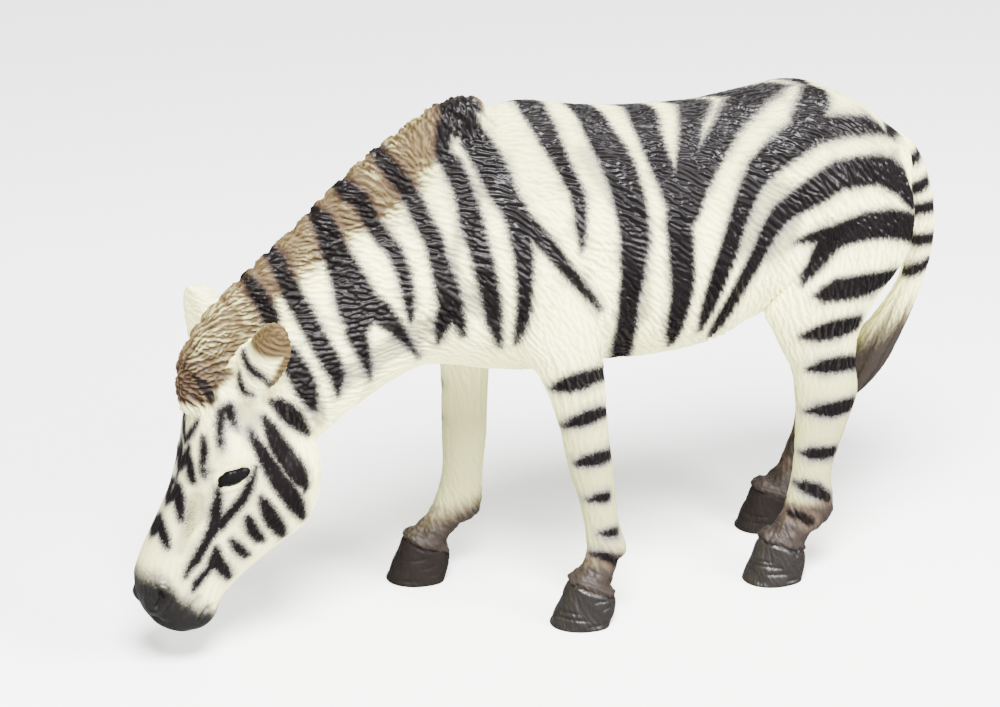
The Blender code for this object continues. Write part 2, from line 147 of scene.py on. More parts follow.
# The trunk and neck, from tail root to throat: top x, z, bottom x, z, half width, widest, powers.
TRUNK = (
    (55.4, 57.4, 53.6, 53.0, 2.0, 0.5, 2.0, 2.0),
    (53.2, 60.6, 50.3, 45.0, 6.5, 0.55, 2.0, 2.2),
    (49.3, 63.6, 47.1, 40.0, 10.3, 0.55, 2.1, 2.2),
    (44.2, 67.2, 43.0, 38.4, 12.6, 0.55, 2.2, 2.2),
    (37.5, 69.4, 37.0, 39.0, 13.2, 0.52, 2.2, 2.2),
    (30.0, 68.9, 29.5, 38.4, 12.9, 0.50, 2.1, 2.2),
    (22.0, 68.4, 22.5, 35.4, 13.3, 0.46, 2.1, 2.2),
    (13.5, 68.8, 14.0, 34.6, 13.8, 0.44, 2.1, 2.2),
    (5.0, 69.8, 6.0, 35.0, 13.6, 0.44, 2.0, 2.2),
    (-3.0, 71.6, -2.0, 34.8, 12.8, 0.42, 1.8, 2.2),
    (-9.0, 71.2, -9.5, 35.6, 12.0, 0.42, 1.7, 2.1),
    (-14.0, 69.2, -15.3, 37.0, 10.9, 0.42, 1.65, 2.0),
    (-19.5, 65.4, -20.4, 37.6, 9.2, 0.42, 1.6, 2.0),
    (-26.2, 60.6, -25.7, 35.5, 7.8, 0.43, 1.6, 2.0),
    (-33.2, 55.2, -30.3, 32.8, 6.8, 0.44, 1.6, 2.0),
    (-40.2, 49.2, -34.0, 30.0, 6.1, 0.45, 1.7, 2.0),
    (-46.0, 43.0, -36.5, 28.4, 5.4, 0.48, 2.0, 2.0),
    (-49.0, 38.5, -38.0, 27.0, 5.0, 0.5, 2.0, 2.0),
)

# The head, from the poll to the lips, in the same form.
HEAD = (
    (-47.5, 43.0, -37.0, 33.5, 4.6, 0.55, 2.2, 2.0),
    (-50.6, 39.0, -34.6, 28.2, 5.8, 0.55, 2.4, 2.2),
    (-52.3, 34.3, -34.4, 23.6, 6.5, 0.58, 2.6, 2.3),
    (-53.2, 29.8, -36.0, 18.6, 6.3, 0.60, 2.6, 2.3),
    (-54.8, 25.3, -40.4, 15.4, 5.2, 0.60, 2.5, 2.2),
    (-57.0, 21.0, -45.2, 12.2, 4.4, 0.58, 2.4, 2.2),
    (-59.1, 16.9, -48.4, 9.4, 4.2, 0.55, 2.4, 2.2),
    (-60.2, 13.0, -49.5, 7.3, 4.5, 0.52, 2.4, 2.2),
    (-59.5, 9.4, -50.6, 6.3, 4.2, 0.5, 2.2, 2.0),
    (-58.0, 6.9, -53.8, 5.4, 2.8, 0.5, 2.0, 2.0),
)

# The upright brush of the mane from the withers to the forelock, in the same form. Half widths
# are shares of the mane's.
MANE_HALF = MANE_THICKNESS / 2 / UNIT
MANE = (
    (-9.9, 71.4, -9.0, 66.0, 0.55, 0.35, 2.6, 2.0),
    (-11.3, 73.3, -10.4, 66.0, 0.80, 0.35, 2.6, 2.0),
    (-15.8, 72.9, -13.8, 64.4, 0.92, 0.35, 2.6, 2.0),
    (-21.8, 69.7, -18.6, 61.4, 1.00, 0.35, 2.5, 2.0),
    (-28.9, 65.2, -25.0, 56.4, 1.00, 0.35, 2.5, 2.0),
    (-36.2, 59.1, -31.4, 51.0, 1.00, 0.35, 2.5, 2.0),
    (-44.9, 52.3, -39.0, 44.6, 1.00, 0.35, 2.5, 2.0),
    (-50.2, 47.6, -43.6, 40.6, 1.02, 0.35, 2.5, 2.0),
    (-53.3, 42.2, -47.0, 37.6, 1.05, 0.40, 2.4, 2.0),
    (-53.6, 38.6, -49.0, 35.6, 0.95, 0.45, 2.2, 2.0),
    (-53.2, 35.8, -50.6, 34.8, 0.50, 0.50, 2.0, 2.0),
)

# Each leg from the body down to the coronet: x, y, z, half length, half width.
FORE_LEFT = (
    (-5.0, -5.4, 56, 9.0, 6.0),
    (-4.6, -6.8, 49, 8.6, 5.8),
    (-3.6, -8.0, 43, 7.0, 5.2),
    (-2.2, -9.2, 38.6, 5.2, 4.2),
    (-1.2, -9.9, 35, 4.1, 3.5),
    (-0.5, -10.3, 31.5, 3.6, 3.0),
    (0.3, -10.5, 27, 3.2, 2.7),
    (1.0, -10.8, 22.5, 3.0, 2.7),
    (1.9, -11.0, 18, 2.5, 2.3),
    (2.6, -11.2, 14, 2.4, 2.1),
    (3.2, -11.3, 10.8, 2.8, 2.3),
    (2.3, -11.3, 8.9, 2.4, 2.2),
    (1.3, -11.3, 7.3, 2.8, 2.7),
    (0.7, -11.3, 5.4, 2.7, 2.7),
)
FORE_RIGHT = (
    (-7.0, 5.4, 56, 9.0, 6.0),
    (-7.6, 6.8, 49, 8.6, 5.8),
    (-8.0, 8.0, 43, 7.0, 5.2),
    (-8.3, 9.0, 38.6, 5.1, 4.2),
    (-8.4, 9.6, 35, 3.8, 3.5),
    (-8.2, 10.1, 31, 3.3, 3.1),
    (-8.0, 10.6, 26, 3.2, 2.9),
    (-7.9, 11.0, 21, 3.1, 2.8),
    (-8.0, 11.3, 16.4, 2.9, 2.4),
    (-8.3, 11.6, 12.9, 3.2, 2.4),
    (-9.3, 11.8, 9.5, 3.9, 2.5),
    (-11.3, 11.9, 8.2, 3.3, 2.5),
    (-12.9, 12.0, 7.0, 3.1, 2.8),
    (-13.7, 12.0, 5.2, 2.9, 2.7),
)
HIND_LEFT = (
    (41.5, -5.6, 61, 8.4, 5.5),
    (41.6, -7.2, 53, 9.9, 6.0),
    (40.0, -8.2, 46, 10.0, 5.4),
    (37.2, -8.8, 40, 8.1, 4.4),
    (36.8, -8.9, 35, 5.8, 3.6),
    (37.7, -8.9, 31, 4.8, 3.0),
    (38.3, -9.0, 27, 4.7, 2.9),
    (37.8, -9.0, 23.2, 4.0, 2.6),
    (37.0, -9.0, 19.2, 3.3, 2.3),
    (36.3, -9.0, 15, 2.9, 2.2),
    (36.1, -9.1, 11.3, 3.6, 2.5),
    (35.2, -9.2, 8.8, 4.1, 2.6),
    (32.9, -9.2, 7.1, 3.2, 2.8),
    (32.0, -9.2, 5.2, 2.9, 2.7),
)
HIND_RIGHT = (
    (42.0, 5.6, 61, 8.4, 5.5),
    (42.5, 7.2, 53, 9.7, 6.0),
    (42.4, 8.0, 46, 9.6, 5.4),
    (42.6, 8.4, 40, 7.8, 4.3),
    (44.0, 8.5, 35, 5.6, 3.5),
    (46.6, 8.5, 31, 4.4, 3.0),
    (48.2, 8.5, 27, 4.3, 2.8),
    (47.6, 8.4, 23.2, 3.6, 2.6),
    (46.9, 8.4, 19.2, 3.0, 2.3),
    (46.3, 8.3, 15, 2.8, 2.2),
    (45.4, 8.3, 11.8, 3.1, 2.4),
    (43.9, 8.2, 8.8, 3.2, 2.5),
    (41.4, 8.2, 6.8, 3.0, 2.8),
    (40.5, 8.2, 5.0, 2.8, 2.7),
)

# Each hoof: the middle of its sole, and the way it points, in degrees from straight ahead.
HOOVES = {
    "fore_left": (-0.4, -11.4, -8),
    "fore_right": (-14.6, 12.1, -4),
    "hind_left": (30.6, -9.1, 6),
    "hind_right": (38.8, 8.1, -4),
}

# The tail, from the dock to the end of the tuft: x, y, z, half thickness fore and aft, sideways.
TAIL = (
    (50.5, 0.0, 59.6, 2.4, 2.4),
    (54.1, 0.0, 57.0, 2.5, 2.3),
    (56.3, 0.0, 53.0, 2.4, 2.2),
    (57.7, 0.0, 48.0, 2.2, 2.1),
    (57.9, 0.0, 43.0, 1.9, 1.8),
    (56.7, 0.0, 38.0, 1.8, 1.6),
    (54.0, 0.0, 33.2, 2.3, 2.1),
    (50.6, 0.0, 28.8, 3.1, 2.8),
    (48.3, 0.0, 25.0, 2.4, 2.1),
    (46.6, 0.0, 21.8, 0.9, 0.9),
)

TAIL_LINE = [r[:3] for r in TAIL]

# The ears: root, the way each points, the way its back faces and its share of the ear's width.
EARS = (
    ((-45.7, -4.9, 39.6), (0.31, -0.34, 0.89), (-0.74, -0.67, 0), 1.0),
    ((-47.2, 4.6, 40.6), (-0.12, 0.33, 0.93), (-0.80, -0.60, 0), 1.22),
)

# Muscles laid over the trunk on both sides: centre, half sizes, pitch, yaw.
MUSCLES = (
    ((-41.8, 2.4, 25.6), (6.4, 4.6, 7.4), 34, 0),
    ((-48.6, 3.9, 31.0), (2.8, 2.4, 2.2), 30, 0),
    ((-57.6, 2.3, 12.0), (2.4, 2.3, 3.2), 26, 0),
    ((-44.7, 3.7, 42.2), (2.0, 1.7, 3.0), 0, 0),
)

# Carved bumps and dents on both sides: centre, reach, height (negative digs in).
DABS = (
    ((-49.3, 6.4, 28.3), 1.9, 0.45),
    ((-48.0, 5.9, 31.6), 2.4, 0.45),
    ((-46.6, 5.6, 35.6), 2.8, -0.55),
    ((-52.4, 5.0, 22.6), 3.4, -0.55),
    ((-59.3, 3.0, 11.9), 1.3, -1.0),
    ((-58.2, 3.9, 14.2), 1.5, 0.35),
    ((-52.4, 2.6, 6.4), 2.2, 0.35),
    ((-10.0, 11.0, 53.0), 9.0, 0.7),
    ((1.5, 12.4, 45.0), 5.0, 0.5),
    ((37.5, 12.8, 54.0), 8.0, 0.5),
    ((47.0, 9.6, 49.0), 5.5, 0.5),
    ((27.0, 12.6, 55.0), 7.0, -0.8),
    ((31.5, 10.6, 63.4), 4.0, 0.7),
    ((33.0, 12.0, 43.5), 4.0, 0.5),
    ((-16.5, 9.6, 44.0), 3.4, 0.5),
)

# Carved furrows and ridges on both sides: points, reach, height.
STROKES = (
    (((-59.4, 1.2, 7.6), (-55.4, 3.8, 9.0), (-53.0, 4.4, 10.8)), 0.8, -0.5),
    (((-36.4, 5.6, 35.0), (-33.8, 4.8, 28.5), (-34.0, 3.6, 24.5)), 1.5, -0.45),
    (((-33.0, 5.4, 39.0), (-22.0, 8.0, 45.0), (-14.5, 9.8, 48.0)), 2.4, -0.5),
    (((-13.0, 7.0, 66.0), (-18.5, 9.0, 54.0), (-14.0, 11.0, 46.0)), 2.2, -0.5),
    (((1.0, 9.0, 67.0), (7.0, 12.6, 56.0), (7.0, 12.6, 44.0)), 2.4, -0.45),
    (((-3.5, 12.6, 50.0), (1.0, 12.8, 43.0), (2.6, 12.0, 39.0)), 1.8, -0.4),
    (((32.0, 12.4, 47.0), (29.0, 10.0, 40.6), (28.6, 7.0, 38.8)), 1.8, 0.6),
    (((48.0, 9.0, 60.0), (47.0, 11.4, 50.0), (43.5, 11.6, 42.0)), 2.0, -0.45),
    (((36.0, 0.0, 69.6), (45.0, 0.0, 67.0), (52.0, 0.0, 61.6)), 1.8, -0.35),
    (((-50.0, 6.3, 25.6), (-53.0, 5.0, 19.4)), 1.2, 0.3),
)


def turned_ring(row, ahead):
    """A section square to the path: x, y, z of its middle, half size along, half size across."""
    x, y, z, along, across = row
    side = Vector((0, 1, 0))
    face = side.cross(ahead).normalized()
    middle = Vector((x, y, z))
    points = []
    for angle in round_the_ring():
        offset = face * (along * math.cos(angle)) + side * (across * math.sin(angle))
        points.append((middle + offset) * UNIT)
    return points


def path_rings(rows):
    """Rings square to the line through the rows' middles."""
    rings = []
    for k, row in enumerate(rows):
        after = rows[min(k + 1, len(rows) - 1)]
        before = rows[max(k - 1, 0)]
        ahead = Vector(after[:3]) - Vector(before[:3])
        rings.append(turned_ring(row, ahead.normalized()))
    return rings


def hoof_rings(x, y, turn):
    """A hoof from below the ground to its sloping coronet."""
    half_length = HOOF_LENGTH / 2 / UNIT
    half_width = HOOF_WIDTH / 2 / UNIT
    height = HOOF_HEIGHT / UNIT
    rings = []
    for share in (-0.4, 0.0, 0.3, 0.6, 0.86, 1.0):
        points = []
        size = 1.0 - 0.28 * max(share, 0.0)
        if share > 0.9:
            size *= 0.84
        for angle in round_the_ring():
            toe = rounded(math.cos(angle), 2.0 if math.cos(angle) > 0 else 2.8)
            heel = 1.0 - 0.24 * max(-toe, 0.0) * min(max(0.45 - share, 0.0) / 0.45, 1.0)
            ahead = toe * half_length * size * heel
            across = rounded(math.sin(angle), 2.1) * half_width * size
            rise = share * height * (1.0 + 0.26 * toe)
            back = 0.26 * rise
            points.append((-ahead + back, across, rise))
        rings.append(points)
    spin = Matrix.Rotation(math.radians(turn), 3, "Z")
    return [[(spin @ Vector(p) + Vector((x, y, 0))) * UNIT for p in ring] for ring in rings]


def ear_rings(root, aim, back, breadth):
    """An ear from its root to its point, hollow towards the front."""
    root, up = Vector(root), Vector(aim).normalized()
    half, reach, thick = breadth * EAR_WIDTH / 2 / UNIT, EAR_LENGTH / UNIT, EAR_THICKNESS / 2 / UNIT
    back = Vector(back)
    back = (back - up * back.dot(up)).normalized()
    across = up.cross(back)
    rings = []
    for share in (-0.22, -0.05, 0.12, 0.3, 0.48, 0.64, 0.78, 0.9, 0.97, 1.0):
        open_share = min(max(share + 0.1, 0.0) / 0.5, 1.0)
        wide = half * (0.52 + 0.48 * math.sin(open_share * math.pi / 2))
        if share > 0.45:
            wide *= math.sqrt(max(0.02, 1 - ((share - 0.45) / 0.56) ** 1.9))
        centre = root + up * reach * share
        points = []
        for angle in round_the_ring():
            reach_out = math.cos(angle)
            bow = -0.5 * wide * reach_out * reach_out * open_share
            offset = across * (reach_out * wide) + back * (math.sin(angle) * thick + bow)
            points.append((centre + offset) * UNIT)
        rings.append(points)
    return rings


def lay_up_clay():
    """All the shapes of the figure as closed shells in one mesh, overlapping where they fuse."""
    clay = bmesh.new()
    mane = [(*r[:4], r[4] * MANE_HALF, *r[5:]) for r in MANE]
    for rows in (TRUNK, HEAD, mane):
        add_loft(clay, [profile_ring(r) for r in spline(rows)])
    for leg in (FORE_LEFT, FORE_RIGHT, HIND_LEFT, HIND_RIGHT):
        add_loft(clay, [limb_ring(r) for r in spline(leg)])
    add_loft(clay, path_rings(spline(TAIL)))
    for ear in EARS:
        add_loft(clay, ear_rings(*ear))
    for (x, y, z), radii, pitch, yaw in MUSCLES:
        for side in (-1, 1):
            add_ellipsoid(clay, (x, side * y, z), radii, pitch, side * yaw)
    bmesh.ops.translate(clay, verts=clay.verts, vec=-Vector(SHIFT) * UNIT)
    for x, y, turn in HOOVES.values():
        add_loft(clay, hoof_rings(x - BESIDE_X, y - BESIDE_Y, turn))
    return clay


def near_line(points, line):
    """How far each point is from a line of several straight pieces."""
    best = np.full(len(points), np.inf)
    for a, b in zip(line, line[1:]):
        a, b = np.array(a, float), np.array(b, float)
        share = np.clip((points - a) @ (b - a) / ((b - a) @ (b - a)), 0, 1)
        gap = points - (a + share[:, None] * (b - a))
        best = np.minimum(best, np.sqrt((gap ** 2).sum(1)))
    return best


def above_mane_line(points, share):
    """How far each point is above a line this share of the way up the mane."""
    rows = np.array(MANE)[::-1]
    line = rows[:, 2:4] + (rows[:, :2] - rows[:, 2:4]) * share
    return points[:, 2] - np.interp(points[:, 0], line[:, 0], line[:, 1])


def hair_locks(points):
    """How deep the furrows between the locks of the mane and tail are at each point."""
    spacing = LOCK_SPACING / UNIT
    x, y, z = points.T
    above = above_mane_line(points, 0.45)
    in_mane = np.clip(above / 2.0, 0, 1) * (np.abs(y) < 3.2) * (x < -9.4) * (x > -56)
    along = 0.78 * x + 0.50 * z + 0.5 * np.sin(0.9 * z + 2.0 * np.sign(y))
    mane = in_mane * np.cos(math.pi * along / spacing) ** 8
    tuft = np.array([(r[0], r[2]) for r in TAIL])
    middle = np.interp(z, tuft[::-1, 1], tuft[::-1, 0])
    turn = np.arctan2(y, x - middle) + 0.035 * z
    in_tail = (z < 40) * (np.abs(x - middle) < 6) * (np.abs(y) < 4.5) * np.clip((40 - z) / 8, 0, 1)
    tail = in_tail * np.cos(2.5 * turn) ** 8
    return mane + 1.3 * tail


def carving(points):
    """How far the carved dabs, strokes and hair locks lift the surface at each point."""
    lift = np.zeros(len(points))
    for side in (-1, 1):
        turned = points * (1, side, 1)
        for centre, reach, height in DABS:
            gap = np.sqrt(((turned - np.array(centre)) ** 2).sum(1))
            lift += height * np.exp(-((gap / reach) ** 2) * 1.4)
        for line, reach, height in STROKES:
            share = 0.5 if all(p[1] == 0 for p in line) else 1.0
            lift += share * height * np.exp(-((near_line(turned, line) / reach) ** 2) * 1.4)
    return lift - LOCK_DEPTH / UNIT * hair_locks(points)


# The photograph: its size in pixels and the place it was taken from.
PHOTO_WIDTH, PHOTO_HEIGHT = 1000, 707
CAMERA_TURN, CAMERA_RISE = -25.0, 20.0
CAMERA_AIM = Vector((-7.25, -0.31, 36.1)) * UNIT
CAMERA_DISTANCE = 480 * UNIT
LENS, SENSOR = 128.0, 36.0
PER_PIXEL = SENSOR / LENS / PHOTO_WIDTH


def camera_axes():
    """The camera's right, its up and the way back to it from what it looks at."""
    turn, rise = math.radians(CAMERA_TURN), math.radians(CAMERA_RISE)
    back = Vector((math.sin(turn) * math.cos(rise), -math.cos(turn) * math.cos(rise), math.sin(rise)))
    right = Vector((math.cos(turn), math.sin(turn), 0))
    return right, back.cross(right), back


def sight(x, y):
    """The line of sight through a pixel: where it starts and its direction."""
    right, up, back = camera_axes()
    across = (x - PHOTO_WIDTH / 2) * PER_PIXEL
    rise = (PHOTO_HEIGHT / 2 - y) * PER_PIXEL
    return CAMERA_AIM + back * CAMERA_DISTANCE, (right * across + up * rise - back).normalized()


# Stripes as centre lines: x, y, half width, all in pixels of the photograph.
NECK_STRIPES = (
    ((466, 107, 8), (449, 119, 10), (442, 140, 9), (443, 155, 9), (453, 166, 10), (463, 189, 10),
     (472, 225, 11), (480, 250, 10), (486, 274, 10.5), (491, 298, 9), (494, 322, 8), (499, 342, 3.5),
     (501, 347, 1)),
    ((466, 107, 9), (468, 124, 12), (474, 139, 14), (483, 153, 15), (493, 170, 15), (501, 188, 14.5),
     (506, 198, 13), (512, 207, 13), (519, 222, 13), (521, 241, 11), (524, 258, 10), (525, 285, 8.5),
     (524, 312, 7.5), (520, 330, 5), (516, 344, 1)),
    ((524, 224, 12), (534, 232, 9.5), (551, 249, 8), (566, 269, 6.5), (580, 285, 5), (591, 298, 3.5),
     (600, 309, 1)),
    ((379, 152, 7), (384, 161, 9), (393, 172, 9.5), (405, 187, 9.5), (415, 204, 9.5), (424, 223, 9.5),
     (434, 240, 9.5), (439, 262, 9.5), (447, 286, 12), (451, 306, 13), (443, 322, 9), (438, 342, 2.5)),
    ((452, 306, 10), (459, 322, 7), (463, 335, 2.5)),
    ((342, 185, 8), (348, 191, 11), (361, 201, 9.5), (371, 221, 8.5), (383, 238, 8.5), (395, 252, 8),
     (404, 274, 7), (408, 293, 6.5), (410, 310, 5), (411, 322, 2)),
    ((317, 213, 7), (323, 221, 11), (328, 235, 13), (336, 254, 14), (346, 274, 16), (354, 293, 19),
     (358, 308, 20), (358, 322, 13), (356, 334, 10.5), (362, 349, 8), (368, 366, 5), (370, 379, 1)),
    ((366, 304, 14), (380, 312, 12), (393, 325, 9), (405, 339, 6), (419, 357, 1)),
    ((272, 252, 7), (277, 260, 9.5), (282, 272, 9), (292, 293, 10), (306, 318, 10), (319, 342, 10),
     (330, 361, 10), (338, 376, 8.5), (338, 395, 2.5)),
    ((249, 281, 6), (254, 288, 8), (260, 297, 9), (268, 313, 9), (276, 327, 8), (282, 343, 8),
     (290, 355, 9), (298, 371, 12), (306, 388, 12), (312, 404, 7), (316, 411, 2)),
    ((441, 122, 4), (446, 110, 7), (458, 104, 7), (470, 103, 8), (477, 108, 5)),
    ((455, 110, 9), (460, 122, 9), (456, 134, 5)),
)
BARREL_STRIPES = (
    ((527, 101, 12.8), (533, 110, 13.8), (540, 121, 12.8), (549, 139, 10.8), (559, 157, 8.8),
     (568, 175, 7.8), (577, 192, 7.3), (580, 210, 6.3), (581, 228, 5.3), (582, 241, 3), (582, 250, 1)),
    ((572, 100, 12.8), (579, 106, 13.8), (590, 116, 15.8), (600, 134, 15.8), (611, 151, 16.8),
     (620, 169, 16.8), (626, 187, 15.8), (630, 205, 16.3), (633, 223, 15.8), (635, 241, 15.8),
     (633, 259, 14.3), (633, 276, 12.8), (630, 294, 12.3), (628, 312, 11.3), (626, 330, 11.3),
     (622, 346, 9.8), (618, 356, 7.8)),
    ((638, 107, 12.8), (642, 114, 13.8), (645, 125, 13.8), (652, 142, 12.8), (660, 162, 11.8),
     (668, 180, 11.8), (676, 194, 14.8)),
    ((695, 99, 10.5), (693, 106, 10), (691, 116, 9.5), (690, 134, 10), (689, 152, 11.3),
     (689, 168, 14.3)),
    ((778, 80, 8), (765, 86, 10.5), (753, 92, 10.5), (745, 101, 10.5), (736, 112, 10),
     (723, 133, 10), (710, 156, 12.3), (698, 174, 15.8), (688, 188, 19.8), (684, 206, 18.8),
     (679, 224, 13.8), (681, 242, 13.8), (682, 260, 13.3), (683, 278, 12.8), (682, 296, 11.8),
     (678, 314, 10.3), (674, 332, 7.8), (670, 344, 1.5)),
    ((886, 134, 1), (878, 128, 4.8), (869, 125, 7.8), (848, 126, 8.8), (827, 128, 10.3),
     (810, 131, 12.8), (794, 142, 12.8), (775, 156, 12.8), (760, 170, 12.3), (750, 188, 11.3),
     (743, 206, 10.8), (735, 230, 10.3), (729, 250, 10.8), (721, 272, 10.3), (714, 292, 9.3),
     (706, 314, 6.8), (700, 330, 1.5)),
    ((819, 83, 3), (817, 90, 7.8), (816, 98, 10.8), (811, 112, 11.8), (806, 125, 12.8)),
    ((912, 202, 6.8), (906, 192, 9.8), (899, 180, 13.8), (890, 174, 14.8), (880, 170, 13.3),
     (859, 172, 13.8), (838, 176, 13.8), (817, 190, 13.8), (798, 202, 11.8), (781, 214, 10.8),
     (770, 230, 9.8), (762, 246, 8.8), (752, 266, 8.3), (743, 282, 7.8), (732, 302, 7.8),
     (722, 318, 7.8), (714, 330, 4.8), (710, 336, 1)),
    ((914, 228, 11.8), (906, 226, 13.8), (890, 224, 13.8), (870, 226, 13.8), (853, 230, 12.8),
     (836, 236, 12.8), (826, 246, 11.8), (815, 264, 7.8), (806, 276, 4.8), (802, 284, 1)),
    ((836, 234, 9.8), (822, 236, 7.8), (810, 238, 4.8), (796, 242, 1)),
    ((897, 272, 4.8), (891, 276, 7.8), (882, 280, 9.8), (870, 284, 11.8), (853, 288, 12.3),
     (838, 290, 11.8), (827, 294, 8.8), (816, 296, 2)),
)
LEG_STRIPES = (
    ((553, 389, 2.1), (560, 387, 6.2), (567, 385, 8.6), (581, 381, 9.7), (594, 376, 7.4),
     (603, 373, 6.2)),
    ((563, 426, 2.1), (575, 422, 6.2), (587, 418, 8), (598, 414, 6.8), (605, 412, 5)),
    ((577, 464, 2.7), (587, 461, 6.2), (600, 458, 7.4), (610, 454, 5.6)),
    ((589, 500, 2.1), (598, 498, 5), (606, 497, 6), (615, 494, 5)),
    ((601, 533, 1.7), (608, 533, 4.1), (615, 532, 5.3), (623, 532, 5)),
    ((591, 554, 1.7), (600, 555, 3.8), (608, 557, 5), (617, 561, 5.6)),
    ((803, 336.5, 2.7), (819, 333.5, 8.6), (834, 329.5, 10.3), (846, 326.5, 9.7), (857, 322.5, 7.4)),
    ((809, 369.5, 2.1), (823, 366.5, 7.4), (838, 364.5, 8.6), (850, 362.5, 7.4), (855, 361.5, 5)),
    ((806, 411.5, 1.5), (820, 410.5, 6.2), (835, 409.5, 8.6), (850, 404.5, 8)),
    ((801, 452.5, 1.5), (812, 453.5, 6.2), (823, 453.5, 6.8), (833, 451.5, 6.2)),
    ((795, 482.5, 2.1), (805, 486.5, 6.2), (816, 490.5, 7.4), (828, 497.5, 5)),
    ((780, 510.5, 1.5), (790, 512.5, 3.8), (800, 515.5, 5), (810, 521.5, 5)),
)
FACE_STRIPES = (
    ((272, 402, 3.4), (279, 405, 7.4), (286, 411, 9.9), (295, 419, 9.9), (303, 428, 6.4),
     (309, 434, 2.4)),
    ((264, 418, 3.4), (270, 428, 7.4), (276, 442, 9.9), (285, 455, 10.9), (294, 468, 11.4),
     (301, 478, 9.4), (306, 486, 4.4), (304, 492, 1.9)),
    ((249, 430, 2.9), (255, 441, 5.4), (262, 452, 6.9), (270, 466, 8.4), (278, 479, 9.4),
     (287, 491, 9.9), (296, 504, 8.9), (302, 514, 5.4), (304, 518, 2.4)),
    ((261, 498, 1.9), (264, 503, 5.4), (268, 511, 7.4), (274, 522, 8.4), (280, 530, 6.4),
     (284, 536, 2.4)),
    ((248, 518, 3.4), (250, 524, 5.4), (253, 531, 6.4), (259, 538, 5.4), (264, 541, 1.4)),
    ((231, 540, 1.9), (235, 545, 4.4), (240, 550, 5.4), (246, 555, 3.9), (249, 555, 1.4)),
    ((216, 548, 2.4), (216, 554, 5.4), (215, 561, 7.4), (213, 564, 6.4), (209, 569, 3.9),
     (203, 576, 3.4), (197, 583, 4.4), (194, 589, 2.4)),
    ((216, 557, 6.4), (220, 565, 6.4), (225, 571, 5.9), (229, 577, 3.4)),
    ((218, 489, 2.4), (218, 500, 4.4), (216, 510, 5.9), (216, 520, 6.9), (214, 528, 6.4),
     (208, 538, 5.4), (202, 549, 5.4), (196, 560, 5.4), (190, 567, 3.4), (186, 576, 1.9)),
    ((256, 468, 1.9), (252, 480, 3.9), (248, 490, 4.9), (242, 500, 5.4), (234, 510, 5.4),
     (226, 518, 4.9), (220, 526, 4.9)),
    ((228, 408, 4.9), (222, 412, 5.4), (220, 425, 4.9), (220, 436, 4.4), (221, 444, 4.4),
     (223, 449, 2.9)),
    ((229, 408, 5.4), (231, 416, 5.9), (234, 423, 4.4), (238, 428, 1.9)),
    ((204, 439, 3.9), (204, 450, 5.4), (204, 460, 4.9), (204, 470, 4.9), (205, 475, 2.9)),
    ((198, 422, 2.9), (192, 431, 4.9), (187, 438, 4.4), (180, 446, 2.9)),
    ((189, 448, 3.9), (186, 457, 7.9), (182, 463, 7.4), (178, 470, 3.9), (176, 477, 2.9)),
    ((187, 456, 6.4), (190, 465, 6.4), (191, 474, 5.9), (193, 480, 3.9)),
    ((176, 484, 3.9), (176, 492, 8.4), (171, 497, 5.9), (164, 504, 2.9)),
    ((178, 490, 6.4), (179, 500, 6.9), (180, 510, 4.9), (181, 519, 2.9)),
    ((160, 518, 3.9), (159, 526, 7.4), (155, 530, 5.9), (149, 535, 2.9)),
    ((160, 525, 6.4), (162, 531, 5.9), (165, 539, 4.9), (167, 546, 2.9)),
)

# In the same form: a faint mark on the nose, the ear's stripes, the forelock's mark and the eye.
FAINT_MARKS = (
    ((192, 505, 0.5), (191, 515, 1.5), (189, 527, 1.2), (186, 535, 0.3)),
)
EAR_STRIPES = (
    ((243, 352, 2.5), (246, 362, 4.4), (252, 370, 4.7), (262, 377, 3.9), (270, 384, 2.2)),
    ((239, 374, 2.5), (240, 383, 4.2), (244, 391, 4.2), (252, 395, 2.2)),
)
FORELOCK_MARK = (((194, 376, 3), (201, 383, 5), (208, 391, 6.5), (213, 399, 5)),)
EYE_LINE = (
    (220.5, 485.5, 3), (224.5, 481.5, 7), (230, 479.6, 9), (237, 477.4, 8.8), (242.5, 474.4, 7.6),
    (246, 472, 5),
)

# Folds of the face: pixels of a line, then its reach and height in units (negative digs in).
FACE_FOLDS = (
    (((205, 469), (214, 464), (226, 461), (238, 459), (250, 460)), 1.15, 0.42),
    (((209, 473), (218, 472), (230, 469), (243, 465), (251, 465)), 0.42, -0.30),
    (((216, 496), (226, 495), (238, 489), (247, 480)), 0.55, -0.18),
    (((196, 500), (193, 515), (186, 535), (182, 552)), 1.1, -0.34),
    (((205, 505), (203, 520), (196, 540), (188, 560)), 1.0, 0.26),
    (((205, 425), (214, 436), (222, 452)), 1.2, 0.26),
    (((236, 420), (246, 430), (254, 446), (258, 462)), 1.2, -0.28),
    (((140, 578), (150, 587), (154, 600), (150, 614)), 1.0, 0.10),
)

# The nostril and the mouth, in the form of the stripes.
NOSTRIL_RIM = ((161, 587, 0.8), (166, 589, 1.2), (169, 595, 1.4), (167, 602, 1.4), (161, 609, 0.8))
NOSTRIL_PIT = ((160, 594, 2.0), (162, 598, 2.8), (160, 603, 2.8), (157, 607, 2.0))
MOUTH_LINE = ((214, 605, 0.8), (208, 608, 1), (203, 614, 1), (199, 622, 1))

# Where the dark paint of the muzzle and the tan of the mane end, in pixels.
MUZZLE_EDGE = (
    (134, 566), (140, 571), (150, 576), (160, 577), (168, 581), (174, 589), (181, 598), (190, 601),
    (196, 607), (202, 608), (208, 606), (214, 612), (219, 620),
)
MANE_EDGE = (
    (446, 100), (442, 130), (434, 165), (415, 190), (393, 216), (368, 235), (344, 247), (322, 264),
    (305, 276), (288, 292), (274, 306), (257, 325), (236, 336), (222, 355), (218, 393), (196, 404),
    (184, 404),
)

